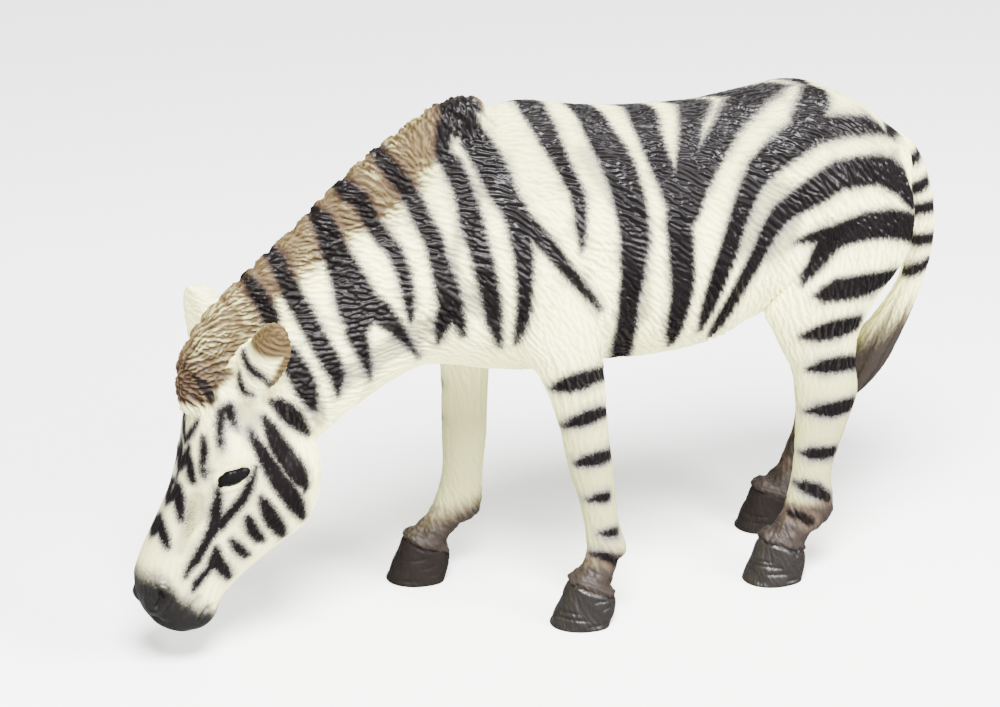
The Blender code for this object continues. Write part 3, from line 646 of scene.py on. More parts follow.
# The bars of the tail, in the form of the stripes.
TAIL_BARS = (
    ((904, 167, 3.9), (912, 161, 5.2), (918, 154, 4.5)),
    ((906, 191, 4.5), (916, 188, 5.9), (926, 182, 5.2)),
    ((904, 210, 4.5), (917, 209, 5.5), (932, 206, 5.2)),
    ((903, 239, 4.5), (916, 240, 5.5), (932, 238, 5.2)),
    ((906, 272, 3.9), (916, 269, 5.5), (927, 262, 4.5)),
)

# Which way the moulded hair lies in the side view: x, z, then its direction.
HAIR_LIES = (
    (10, 67, 1.0, -0.30), (10, 56, 0.9, -0.65), (12, 44, 0.75, -0.9), (28, 66, 1.0, -0.45),
    (26, 55, 0.8, -0.9), (27, 43, 0.35, -1.0), (-4, 66, 1.0, -0.35), (-5, 56, 0.8, -0.8),
    (-4, 45, 0.45, -1.0), (-16, 46, 0.8, -0.7), (-16, 58, 1.0, -0.35), (-27, 47, 1.0, -0.15),
    (-26, 57, 1.0, -0.35), (-25, 38, 1.0, 0.10), (-35, 40, 1.0, 0.05), (-38, 48, 1.0, -0.2),
    (-44, 44, 0.9, -0.3), (41, 66, 0.8, -0.8), (48, 60, 0.5, -1.0), (40, 56, 0.5, -1.0),
    (47, 50, 0.25, -1.0), (38, 45, 0.15, -1.0), (-2, 30, 0.05, -1.0), (38, 30, 0.05, -1.0),
    (-44, 33, -0.25, -1.0), (-38, 26, 0.1, -1.0), (-48, 22, -0.4, -1.0), (-56, 15, -0.5, -1.0),
)

# The same for the strands of the mane and forelock.
MANE_LIES = (
    (-12, 72, 0.05, -1.0), (-18, 70, 0.3, -1.0), (-24, 66, 0.8, -0.65), (-32, 60, 1.0, -0.3),
    (-42, 52, 1.0, -0.12), (-47, 47, 1.0, 0.05), (-50, 44, 1.0, 0.2), (-53, 41, 1.0, 0.1),
    (-54, 38, 1.0, -0.25), (-50, 36.5, 0.8, -0.8),
)

# The crest of the forelock and upper mane, where the tan paint is strongest.
CREST = ((-40, 0, 53.5), (-44, 0, 49.5), (-49, 0, 45), (-52.5, 0, 41), (-53.5, 0, 36.5))

# The moulded hair, fine and coarse: from ridge to ridge, how far a ridge runs, how many strokes
# there are as a share of this number.
STROKES_LAID = 15000
FINE_HAIR = (0.66, 1.45, 1.1)
COARSE_HAIR = (1.2, 2.4, 0.4)
HAIR_HEIGHT = 0.42

# Start of the random draws.
SEED = 7

# Traced lines are laid down in steps of this many pixels. Distances from them count less across
# the animal, and stop at the value that stands for bare cream.
TRACE_STEP = 7
ACROSS_BACK, ACROSS_LEGS, ACROSS_TAIL = 0.4, 0.7, 0.15
UNPAINTED = 4.0

# How much wider the stripes are than traced: everywhere, and more so on the barrel and the legs.
WIDER, WIDER_BARREL, WIDER_LEGS = 0.10, 0.12, 0.10

# Places along X: the head ends before the first, only hind legs stand behind the second, and the
# rump turns inwards at the third and ends at the fourth.
BEHIND_HEAD = -30
HIND_HALF = 20
RUMP_TURNS, RUMP_ENDS = 45.5, 54

# Cracks round a hoof: how high, how far they wander, and where along the wander they start.
HOOF_CRACKS = ((3.6, 0.30, 0.4), (2.6, -0.25, 2.1), (1.5, 0.20, 4.0), (0.7, 0.1, 5.3))

# The way the hair of the tail's tuft hangs.
TUFT_HANG = np.array((-0.25, 0, -0.97))

# Fineness of the painted skin, and the pieces it is handed over in.
FINE_VOXEL = 0.21 * UNIT
FINE_ROUNDS = 10
BANDS = 5

# The plainer skin that the traced lines are laid on.
ROUGH_VOXEL = 0.70 * UNIT
ROUGH_ROUNDS = 2


def put_in_scene(name, data):
    """A new object with this mesh, lamp or camera."""
    made = bpy.data.objects.new(name, data)
    bpy.context.scene.collection.objects.link(made)
    return made


def fused_mesh(clay, voxel, rounds):
    """One closed skin over all the shells, softened."""
    raw = bpy.data.meshes.new("clay")
    clay.to_mesh(raw)
    clay.free()
    lump = put_in_scene("clay", raw)
    remesh = lump.modifiers.new("fuse", "REMESH")
    remesh.mode = "VOXEL"
    remesh.voxel_size = voxel
    soften = lump.modifiers.new("soften", "SMOOTH")
    soften.factor = 0.5
    soften.iterations = rounds
    graph = bpy.context.evaluated_depsgraph_get()
    skin = bpy.data.meshes.new_from_object(lump.evaluated_get(graph))
    bpy.data.objects.remove(lump)
    cut = bmesh.new()
    cut.from_mesh(skin)
    parts = cut.verts[:] + cut.edges[:] + cut.faces[:]
    bmesh.ops.bisect_plane(cut, geom=parts, plane_co=(0, 0, 0), plane_no=(0, 0, 1), clear_inner=True)
    bmesh.ops.holes_fill(cut, edges=[e for e in cut.edges if e.is_boundary])
    bmesh.ops.triangulate(cut, faces=[f for f in cut.faces if len(f.verts) > 4])
    cut.to_mesh(skin)
    cut.free()
    return skin


def arrays(skin):
    """The skin's points, in units, and the way its surface faces there."""
    count = len(skin.vertices)
    place, facing = np.empty(count * 3), np.empty(count * 3)
    skin.vertices.foreach_get("co", place)
    skin.vertices.foreach_get("normal", facing)
    return place.reshape(-1, 3) / UNIT, facing.reshape(-1, 3)


def move(skin, place):
    """Moves the skin's points to these places, in units."""
    skin.vertices.foreach_set("co", (place * UNIT).ravel())
    skin.update()


def traced(lines, tree):
    """Pixel lines laid on the form: points in units with half widths, on the near side.

    A point of a line that misses the form is left out.
    """
    laid = []
    for line in lines:
        points = []
        line = [(*p, 0) if len(p) == 2 else p for p in line]
        for a, b in zip(line, line[1:]):
            steps = max(1, int(math.hypot(b[0] - a[0], b[1] - a[1]) / TRACE_STEP))
            for k in range(steps):
                t = k / steps
                points.append([a[i] + (b[i] - a[i]) * t for i in range(3)])
        points.append(line[-1])
        found = []
        for x, y, half in points:
            start, way = sight(x, y)
            hit = tree.ray_cast(start, way)[0]
            if hit is not None:
                far = (hit - start).length
                found.append((*(hit / UNIT), half * PER_PIXEL * far / UNIT))
        laid.append(np.array(found))
    return laid


def wrapped(laid, tree):
    """The stripes that reach the rear edge of the rump carried on round it, thinning out."""
    longer = []
    for line in laid:
        from_rear = line[0, 0] > line[-1, 0]
        x, y, z, half = line[0] if from_rear else line[-1]
        if x > RUMP_TURNS and z > 37 and abs(y) > 4:
            more = []
            for share in (0.25, 0.5, 0.75, 0.95):
                aim = Vector((x + (RUMP_ENDS - x) * share, y * (1 - share), z - 1.6 * share)) * UNIT
                more.append((*(tree.find_nearest(aim)[0] / UNIT), max(half, 0.9) * (1 - 0.6 * share)))
            more = np.array(more)
            line = np.vstack([more[::-1], line] if from_rear else [line, more])
        longer.append(line)
    return longer


def paint_distance(points, laid, across=1.0):
    """How far each point is outside the nearest laid line, in units; below 0 it is painted.

    Distances across the animal count this much.
    """
    measure = np.array((1.0, across, 1.0))
    points = points * measure
    best = np.full(len(points), UNPAINTED)
    for line in laid:
        ends = line[:, :3] * measure
        low, high = ends.min(0) - UNPAINTED, ends.max(0) + UNPAINTED
        near = np.flatnonzero(((points > low) & (points < high)).all(1))
        if not len(near):
            continue
        some, closest = points[near], best[near]
        for k in range(len(ends) - 1):
            step = ends[k + 1] - ends[k]
            share = np.clip((some - ends[k]) @ step / max(step @ step, 1e-9), 0, 1)
            gap = some - (ends[k] + share[:, None] * step)
            width = line[k, 3] + (line[k + 1, 3] - line[k, 3]) * share
            closest = np.minimum(closest, np.sqrt((gap ** 2).sum(1)) - width)
        best[near] = closest
    return best


def ramp(value, low, high):
    """A smooth rise from 0 at the low value to 1 at the high one."""
    share = np.clip((value - low) / (high - low), 0, 1)
    return share * share * (3 - 2 * share)


def bell(value, middle, width):
    """A smooth swell, 1 at the middle value."""
    return np.exp(-(((value - middle) / width) ** 2))


def leg_middle(table, z):
    """How far along X the middle of a leg is at each height."""
    rows = np.array(table)[::-1]
    return np.interp(z, rows[:, 2], rows[:, 0])


def on_left(points):
    """Each point moved to where the same spot of the animal is on its left side."""
    left = points.copy()
    right = points[:, 1] > 0
    left[:, 1] = -np.abs(points[:, 1])
    x, z = points[:, 0], points[:, 2]
    low = 1 - ramp(z, 36, 44)
    for near, far, front, rear in ((FORE_LEFT, FORE_RIGHT, -30, 18), (HIND_LEFT, HIND_RIGHT, 22, 70)):
        mine = right & (x > front) & (x < rear)
        left[:, 0] += np.where(mine, low * (leg_middle(near, z) - leg_middle(far, z)), 0)
    return left


def of_length_one(rows):
    return rows / np.maximum(np.linalg.norm(rows, axis=1, keepdims=True), 1e-6)


def hair_direction(points, facing, lies):
    """The way the hair lies at each point, along the surface, from a table of places."""
    way = np.zeros((len(points), 2))
    for x, z, dx, dz in lies:
        size = math.hypot(dx, dz)
        weight = 1 / (0.5 + (points[:, 0] - x) ** 2 + (points[:, 2] - z) ** 2) ** 1.6
        way += weight[:, None] * np.array([dx / size, dz / size])
    flow = of_length_one(np.stack([way[:, 0], np.zeros(len(points)), way[:, 1]], 1))
    flow -= facing * (flow * facing).sum(1, keepdims=True)
    return flow


def combed(points, facing, flow, hair, pitch_share, rng):
    """Ridges that run with the hair, side by side, and branch now and then: mostly from -2 to 2."""
    pitch, run, amount = hair
    cell = 2.4 * run
    count = min(int(STROKES_LAID * amount), len(points))
    pick = rng.choice(len(points), count, replace=False)
    centre, normal, along = points[pick], facing[pick], flow[pick]
    swing = rng.normal(0, 0.24, count)
    side = np.cross(normal, along)
    along = along * np.cos(swing)[:, None] + side * np.sin(swing)[:, None]
    waves = 2 * math.pi / (pitch * pitch_share[pick] * rng.uniform(0.75, 1.3, count))
    side = np.cross(normal, along) * waves[:, None]
    along = along / (run * rng.uniform(0.6, 1.1, count))[:, None]
    start = rng.uniform(0, 2 * math.pi, count)
    spread = (1 / (2 * math.pi * 0.85)) ** 2

    def key(cells):
        return (cells[:, 0] * 1000 + cells[:, 1]) * 1000 + cells[:, 2]

    origin = points.min(0) - 2 * cell
    order = np.argsort(key(np.floor((centre - origin) / cell).astype(np.int64)), kind="stable")
    keys = key(np.floor((centre[order] - origin) / cell).astype(np.int64))
    mine = np.floor((points - origin) / cell).astype(np.int64)
    home, back = np.unique(key(mine), return_inverse=True)
    sorted_points = np.argsort(back, kind="stable")
    edges = np.searchsorted(back[sorted_points], np.arange(len(home) + 1))
    total, power = np.zeros(len(points)), np.zeros(len(points))
    steps = [(i * 1000 + j) * 1000 + k for i in (-1, 0, 1) for j in (-1, 0, 1) for k in (-1, 0, 1)]
    for h, name in enumerate(home):
        some = sorted_points[edges[h]:edges[h + 1]]
        found = [order[np.searchsorted(keys, name + t, "left"):np.searchsorted(keys, name + t, "right")]
                 for t in steps]
        which = np.concatenate(found)
        if not len(which):
            continue
        near = points[some]
        u = near @ along[which].T - (centre[which] * along[which]).sum(1)
        v = near @ side[which].T - (centre[which] * side[which]).sum(1)
        out = near @ normal[which].T - (centre[which] * normal[which]).sum(1)
        weight = np.exp(-0.5 * u * u - 0.5 * spread * v * v) * (np.abs(out) < 1.3)
        total[some] = (weight * np.cos(v + start[which])).sum(1)
        power[some] = (weight * weight).sum(1)
    return total / np.sqrt(0.5 * power + 0.01)


def hair_flow(points, facing, mane, tuft):
    """The way the moulded hair lies at each point, with the mane's and the tuft's own ways."""
    flow = hair_direction(points, facing, HAIR_LIES)
    ways = ((mane, hair_direction(points, facing, MANE_LIES)),
            (tuft, TUFT_HANG - facing * (facing @ TUFT_HANG)[:, None]))
    for share, want in ways:
        flow = flow * (1 - share[:, None]) + want * share[:, None]
    return of_length_one(flow)


def face_relief(points, tree):
    """How far eye, nostril, mouth and folds lift each point, and how far the folds alone do."""
    left = on_left(points) - SHIFT

    def off(line):
        return paint_distance(left, traced((line,), tree))

    eye, pit, rim = off(EYE_LINE), off(NOSTRIL_PIT), off(NOSTRIL_RIM)
    lift = 0.30 * (1 - ramp(eye, -0.75, -0.05)) - 0.16 * bell(eye, 0.05, 0.16)
    lift += 0.20 * bell(eye, 0.48, 0.26)
    near_side = 1 - 0.7 * (points[:, 1] > 0)
    lift += near_side * (0.45 * (1 - ramp(rim, -0.1, 0.5)) - 0.85 * (1 - ramp(pit, -0.35, 0.35)))
    lift -= 0.45 * (1 - ramp(off(MOUTH_LINE), -0.1, 0.35))
    folds = sum(rise * bell(off(line), 0, reach) for line, reach, rise in FACE_FOLDS)
    return lift + folds, folds


def hoof_relief(points, hair):
    """How far the rim over each hoof, its cracks and waves and the knobbly pastern lift a point."""
    x, y, z = points.T
    low, hoof = z - UNDER_SOLES, hoof_share(points)
    ring = above_coronet(points) + 0.25 * np.sin(1.3 * x + 2.3 * y) + 0.12 * hair
    lift = 0.26 * bell(ring, 0.50, 0.42) - 0.30 * bell(ring, -0.20, 0.22)
    for level, slope, start in HOOF_CRACKS:
        crack = bell(low - level, slope * np.sin(0.9 * x + 0.8 * y + start), 0.15)
        lift -= 0.15 * hoof * crack * ramp(np.sin(1.3 * x + 0.9 * y + start * 3), -0.1, 0.6)
    lift += 0.11 * hoof * np.sin(1.1 * x + 0.5 * low) * np.sin(1.0 * y - 0.8 * low + 1)
    knuckle = (1 - ramp(low, 9.5, 12.0)) * ramp(ring, 0.3, 1.2) * (x > BEHIND_HEAD)
    return lift + 0.12 * knuckle * np.sin(2.1 * x + 0.9 * z) * np.sin(1.9 * y + 1.3 * z)


def raise_coat(place, facing, tree, rng):
    """Lifts the moulded hair and works in the finer carving.

    Gives the new points, the hair from 0 in its grooves to 1 on its ridges, and how deep the carved
    dents, furrows and folds lie, which the paint shows as painted shade.
    """
    points = place + SHIFT
    x, y, z = points.T
    mane, tuft, hoof = mane_share(points), tail_share(points), hoof_share(points)
    face = 1 - ramp(x, -45, -37)
    bare_face = face * (1 - mane)
    nose = face * (1 - ramp(z, 8, 13))
    leg = 1 - ramp(z, 26, 38)

    flow = hair_flow(points, facing, mane, tuft)
    share = (1 - 0.12 * face) * (1 - 0.12 * mane) * (1 - 0.15 * tuft)
    fine = combed(points, facing, flow, FINE_HAIR, share, rng)
    coarse = combed(points, facing, flow, COARSE_HAIR, share, rng)
    hair = np.tanh(0.95 * fine + 0.75 * coarse)
    patch = 0.8 + 0.3 * np.sin(0.52 * x + 1.3 + 0.2 * y) * np.sin(0.47 * z + 0.3 * y + 2.1)
    height = HAIR_HEIGHT * patch * (1 - 0.68 * bare_face) * (1 - 0.62 * leg) * (1 - 0.9 * nose)
    height *= (1 + 0.25 * mane) * (1 - 0.3 * tuft) * (1 - 0.85 * hoof)

    carved = carving(points)
    face_lift, folds = face_relief(points, tree)
    lift = carved + 0.5 * height * hair + face_lift + hoof_relief(points, hair)
    lift *= ramp(place[:, 2], 0.05, 0.6)
    soft = (1 - 0.5 * bare_face) * (1 - 0.6 * leg * ramp(z - UNDER_SOLES, 12, 18))
    return place + facing * lift[:, None], 0.5 + 0.5 * hair * soft, -carved - folds


def mane_share(points):
    """1 on the upright mane and forelock, 0 elsewhere."""
    x, y, z = points.T
    here = (np.abs(y) < 3.6) * (x < -9.2) * (x > -57) * (z > 34.5)
    return ramp(above_mane_line(points, 0.42), -0.8, 1.0) * here


def tail_share(points):
    """1 on the free part of the tail, 0 elsewhere."""
    free = (points[:, 0] > 53.2) | ((points[:, 2] < 42) & (points[:, 0] > 44))
    return (near_line(points, TAIL_LINE) < 3.9) & free & (np.abs(points[:, 1]) < 3.6)


def above_coronet(points):
    """How far each point is above the sloping top of its own hoof, in units; 9 at the head."""
    low = points[:, 2] - UNDER_SOLES
    best, level = np.full(len(points), np.inf), np.full(len(points), 9.0)
    for x, y, turn in HOOVES.values():
        gap = points[:, :2] - (x, y)
        near = (gap ** 2).sum(1)
        ahead = -gap @ np.array((math.cos(math.radians(turn)), math.sin(math.radians(turn))))
        toe = np.clip(ahead / (HOOF_LENGTH / 2 / UNIT), -1, 1)
        mine = (near < best) & (points[:, 0] > BEHIND_HEAD)
        level = np.where(mine, low - HOOF_HEIGHT / UNIT * (0.90 + 0.27 * toe), level)
        best = np.minimum(best, near)
    return level


def hoof_share(points):
    """1 on the hooves, 0 above their coronets."""
    return 1 - ramp(above_coronet(points), -0.30, 0.10)


def edge_height(line, x):
    """The height of a traced edge over each x, in station units."""
    points = line[np.argsort(line[:, 0])]
    return np.interp(x, points[:, 0] + BESIDE_X, points[:, 2] + UNDER_SOLES)


def up_the_ear(points, root, aim):
    """Each point from the ear's root, the way the ear points, and how far up it the point lies."""
    way = np.array(aim) / math.sqrt(sum(a * a for a in aim))
    gap = points - np.array(root)
    return gap, way, gap @ way


def ear_share(points):
    """1 on the ears, 0 elsewhere."""
    share = np.zeros(len(points))
    for root, aim, _, breadth in EARS:
        gap, way, along = up_the_ear(points, root, aim)
        across = np.linalg.norm(gap - along[:, None] * way, axis=1)
        mine = ramp(along, 0.6, 1.6) * (along < EAR_LENGTH / UNIT * 1.1)
        mine *= across < breadth * EAR_WIDTH / UNIT * 0.62
        share = np.maximum(share, mine)
    return share


def ear_tan(points, facing):
    """1 where the tan paint lies on the ears: the upper part of the outer side and its rear edge, and
    0.45 on the forward-facing hollow inside.
    """
    share = np.zeros(len(points))
    outward = ramp(facing[:, 1] * np.sign(points[:, 1]), -0.7, -0.1)
    mine = ear_share(points) * outward
    for root, aim, _, _ in EARS:
        gap, way, along = up_the_ear(points, root, aim)
        behind = gap[:, 0] - along * way[0]
        near = np.linalg.norm(gap, axis=1) < EAR_LENGTH / UNIT * 1.3
        reach = along / (EAR_LENGTH / UNIT)
        upper = ramp(reach - 0.04 * behind, 0.46, 0.62)
        rear = ramp(behind, 0.7, 1.9) * ramp(reach, 0.02, 0.2)
        share = np.maximum(share, mine * near * np.maximum(upper, rear) * (root[1] < 0))
    inside = ear_share(points) * ramp(-facing[:, 0], 0.3, 0.8) * (1 - outward)
    return np.maximum(share, 0.45 * inside)


def cut_in_bands(skin, place, facing, values):
    """Pieces of the skin along its length, each with the values at its points as attributes."""
    loops = np.empty(len(skin.loops), np.int64)
    skin.loops.foreach_get("vertex_index", loops)
    starts, totals = (np.empty(len(skin.polygons), np.int64) for _ in range(2))
    skin.polygons.foreach_get("loop_start", starts)
    skin.polygons.foreach_get("loop_total", totals)
    faces = np.stack([loops[starts], loops[starts + 1], loops[starts + 2],
                      np.where(totals == 4, loops[np.minimum(starts + 3, len(loops) - 1)], -1)], 1)
    middle = place[faces[:, :3]].mean(1)[:, 0]
    edges = np.quantile(middle, np.linspace(0, 1, BANDS + 1))
    edges[-1] += 1
    made = []
    for k in range(BANDS):
        mine = faces[(middle >= edges[k]) & (middle < edges[k + 1])]
        used = np.unique(mine[mine >= 0])
        again = np.searchsorted(used, mine)
        rows = [tuple(r) if full else tuple(r[:3]) for r, full in zip(again.tolist(), mine[:, 3] >= 0)]
        mesh = bpy.data.meshes.new(f"zebra_coat_{k}")
        mesh.from_pydata((place[used] * UNIT).tolist(), [], rows)
        mesh.shade_smooth()
        mesh.normals_split_custom_set_from_vertices(facing[used].tolist())
        for name, value in values.items():
            layer = mesh.attributes.new(name, "FLOAT", "POINT")
            layer.data.foreach_set("value", np.asarray(value, np.float32)[used])
        made.append(put_in_scene(f"zebra_coat_{k}", mesh))
    return made


def stripes(station, left, tree, hair):
    """How far each point is outside the black stripes, in units; below 0 it is painted."""
    x, y, z = station.T
    ear, tail = ear_share(station) > 0.4, tail_share(station) > 0.5
    trunk = traced(NECK_STRIPES, tree) + wrapped(traced(BARREL_STRIPES, tree), tree)
    body = paint_distance(left, trunk, across=ACROSS_BACK)
    body = np.minimum(body, paint_distance(left, traced(LEG_STRIPES, tree), across=ACROSS_LEGS))
    inner = (np.abs(y) < 5.2) & (z < 36) & (x > -20)
    body = np.where(inner, np.maximum(body, 1.2), body)
    body = np.where(tail | ear, UNPAINTED, body)
    face = np.where(ear, UNPAINTED, paint_distance(left, traced(FACE_STRIPES, tree)))
    ears = paint_distance(left, traced(EAR_STRIPES, tree))
    bars = [line[line[:, 0] > 51.5] for line in traced(TAIL_BARS, tree)]
    bars = paint_distance(left, [b for b in bars if len(b) > 1], across=ACROSS_TAIL)
    bars = np.where((near_line(station, TAIL_LINE) < 3.1) & (x > 51), bars, UNPAINTED)
    ink = np.minimum(np.minimum(body, face), np.minimum(ears, bars)) - WIDER
    above_legs = ramp(z, 25, 34)
    ink -= WIDER_BARREL * ramp(x, -14, 2) * above_legs + WIDER_LEGS * (1 - above_legs)
    return ink + (0.08 + 0.15 * ramp(z, 22, 40)) * (0.5 - hair)


def mane_tan(station, tree):
    """1 where the mane, poll and forelock are tan, 0 where they are bare."""
    x, _, z = station.T
    tan = ramp(z - edge_height(traced((MANE_EDGE,), tree)[0], x), -3.2, 2.4)
    crest = near_line(station * (1, 0, 1), CREST)
    poll = 1 - ramp(crest, 2.6 + 0.9 * ramp(z, 38, 44), 4.2 + 3.4 * ramp(z, 38, 45))
    tan += (poll - tan) * ramp(-x, 40, 45)
    return tan * ((x < -9.5) * ramp(z, 36.2, 38.0) * (1 - ear_share(station)))


def brown_shares(station):
    """How much brown lies on the pasterns, on the far hind leg and on the tail's tuft; on the far hind
    leg it is partly brown paint and partly painted shade.
    """
    x, y, z = station.T
    low, hind = z - UNDER_SOLES, x > HIND_HALF
    height = low - np.where(hind, 3.0, 0.0)
    height -= np.where((x < HIND_HALF) & (y > 0), 0.3 * (x + 12), 0)
    return {
        "pastern": (1.15 - 1.15 * ramp(height, 6.2, np.where(hind, 9.8, 12.8))) * (x > BEHIND_HEAD),
        # Up the far hind leg only: partly sprayed brown, partly painted shade.
        "far_hind_brown_and_shade": (1 - ramp(low, 13, 21)) * (y > 3) * (x > 30),
        "tuft": 1.1 * tail_share(station) * (1 - ramp(z - 0.45 * (x - 52.5), 29.5, 36.5)),
    }


def shading(station):
    """How much painted shade darkens the cream at each point, and how much the black and the hooves
    shine.
    """
    x, y, z = station.T
    # Painted shade: the cream is darker on the legs, on the face and muzzle, and on the top of the
    # back, where less light fell.
    legs = 0.95 * (1 - ramp(z, 22, 46)) * (x > BEHIND_HEAD) * (1 - 0.7 * tail_share(station))
    head = 0.30 * (1 - ramp(x, -58, -48)) + 0.26 * (1 - ramp(x, -44, -38)) * (z < 44)
    back = 0.45 * ramp(z, 54, 66)
    shine = ramp(z, 38, 48) * (0.25 * ramp(x, -46, -34) + 0.75 * ramp(x, -22, -6))
    return {
        "painted_shade": np.minimum(legs + head + back, 0.95),
        "polish": shine + hoof_share(station) * (y < 0),
    }


def paint_shares(station, facing, tree, hair, fold_shade):
    """What the paint goes by at each point, by name."""
    left = on_left(station) - SHIFT
    x, _, z = station.T
    tan = mane_tan(station, tree)
    muzzle = 1 - ramp(z - edge_height(traced((MUZZLE_EDGE,), tree)[0], x), -2.4, 2.8)
    return {
        "hair": hair,
        "fold_shade": fold_shade,
        "ink": stripes(station, left, tree, hair),
        "faint": paint_distance(left, traced(FAINT_MARKS, tree)),
        "tan": tan,
        "forelock": (1 - ramp(np.sqrt((x + 53.5) ** 2 + (z - 38) ** 2), 3.0, 9.0)) * tan,
        "mark": 1 - ramp(paint_distance(left, traced(FORELOCK_MARK, tree)), -0.5, 0.5),
        "ear": ear_tan(station, facing),
        "eye": paint_distance(left, traced((EYE_LINE,), tree)),
        "muzzle": muzzle * (x < -44),
        "hoof": hoof_share(station),
        **brown_shares(station),
        **shading(station),
    }


def coat():
    """The figure's fine skin in pieces, with its paint as attributes."""
    rng = np.random.default_rng(SEED)
    rough = fused_mesh(lay_up_clay(), ROUGH_VOXEL, ROUGH_ROUNDS)
    place, facing = arrays(rough)
    move(rough, place + facing * carving(place + SHIFT)[:, None])
    faces = [tuple(f.vertices) for f in rough.polygons]
    tree = BVHTree.FromPolygons([v.co.copy() for v in rough.vertices], faces)

    skin = fused_mesh(lay_up_clay(), FINE_VOXEL, FINE_ROUNDS)
    place, hair, fold_shade = raise_coat(*arrays(skin), tree, rng)
    place[:, 2] = np.maximum(place[:, 2], 0)
    move(skin, place)
    place, facing = arrays(skin)
    values = paint_shares(place + SHIFT, facing, tree, hair, fold_shade)
    made = cut_in_bands(skin, place, facing, values)
    bpy.data.meshes.remove(skin)
    bpy.data.meshes.remove(rough)
    return made


class Shader:
    """Small helper that adds nodes to a material and joins them.

    A value is a number, a colour, what another node puts out, or the name of an attribute.
    """

    def __init__(self, name):
        self.material = bpy.data.materials.new(name)
        self.material.use_nodes = True
        self.tree = self.material.node_tree
        self.surface = self.tree.nodes["Principled BSDF"]

    def put(self, value, socket):
        if isinstance(value, str):
            value = self.attribute(value)
        if isinstance(value, bpy.types.NodeSocket):
            self.tree.links.new(value, socket)
        elif value is not None:
            socket.default_value = value

    def node(self, kind, inputs, output, **fields):
        """The output of a new node whose numbered or named inputs get these values."""
        made = self.tree.nodes.new("ShaderNode" + kind)
        for name, value in fields.items():
            setattr(made, name, value)
        for key, value in inputs.items():
            self.put(value, made.inputs[key])
        return made.outputs[output]

    def attribute(self, name):
        return self.node("Attribute", {}, "Fac", attribute_name=name)

    def math(self, what, a, b=None, c=None, clamp=False):
        return self.node("Math", {0: a, 1: b, 2: c}, 0, operation=what, use_clamp=clamp)

    def plus(self, first, *others):
        for other in others:
            first = self.math("ADD", first, other)
        return first

    def minus(self, a, b, clamp=False):
        return self.math("SUBTRACT", a, b, clamp=clamp)

    def times(self, a, b, clamp=False):
        return self.math("MULTIPLY", a, b, clamp=clamp)

    def most(self, first, *others):
        for other in others:
            first = self.math("MAXIMUM", first, other)
        return first

    def step(self, value, low, high, start=0.0, end=1.0):
        inputs = {0: value, 1: low, 2: high, 3: start, 4: end}
        return self.node("MapRange", inputs, 0, interpolation_type="SMOOTHSTEP")

    def mix(self, share, a, b):
        return self.node("Mix", {0: share, 6: a, 7: b}, 2, data_type="RGBA")

    def blend(self, share, a, b):
        return self.node("Mix", {0: share, 2: a, 3: b}, 0, data_type="FLOAT")

    def noise(self, scale, detail, rough):
        place = self.node("TexCoord", {}, "Object")
        inputs = {"Vector": place, "Scale": scale, "Detail": detail, "Roughness": rough}
        return self.node("TexNoise", inputs, "Fac")

    def look(self, colour, rough, gloss):
        names = ("Base Color", "Roughness", "Specular IOR Level")
        for name, value in zip(names, (colour, rough, gloss)):
            self.put(value, self.surface.inputs[name])


# Colours, as the light share that each paint gives back.
CREAM_PAINT = (0.920, 0.895, 0.390, 1)
# The cream in the grooves of the moulded hair, darkened as painted shade; also the colour of the random
# patches.
GROOVE_SHADE_AND_MOTTLE_CREAM = (0.400, 0.395, 0.210, 1)
# The cream darkened as painted shade on the legs, the face and the top of the back.
SHADE_CREAM = (0.285, 0.276, 0.118, 1)
# The cream in carved dents, furrows and folds, darkened as painted shade.
FOLD_SHADE_CREAM = (0.240, 0.234, 0.125, 1)
TAN_PAINT = (0.078, 0.0525, 0.0222, 1)
# The tan in the grooves of the strands, darkened as painted shade.
TAN_GROOVE_SHADE = (0.033, 0.019, 0.008, 1)
BLACK_PAINT = (0.0034, 0.0026, 0.0028, 1)
VEIL_PAINT = (0.105, 0.099, 0.097, 1)
BROWN_PAINT = (0.070, 0.051, 0.034, 1)
# The forelock's darker brown, which also serves as painted shade in its grooves.
FORELOCK_BROWN_AND_SHADE = (0.020, 0.010, 0.008, 1)
BROWN_VEIL = (0.046, 0.028, 0.017, 1)
DARK_BROWN = (0.0175, 0.0130, 0.0114, 1)
HOOF_PAINT = (0.0085, 0.0070, 0.0063, 1)
MUZZLE_PAINT = (0.0054, 0.0047, 0.0044, 1)
MUZZLE_SPRAY = (0.105, 0.096, 0.088, 1)
# The middle of the eye, a touch lighter and bluer than the black: a faint painted reflection.
PUPIL_REFLECTION_BLACK = (0.0034, 0.0033, 0.0037, 1)


def layered(join, base, *layers):
    """The base with each layer, a share and a value, mixed or blended over it in turn."""
    for share, value in layers:
        base = join(share, base, value)
    return base


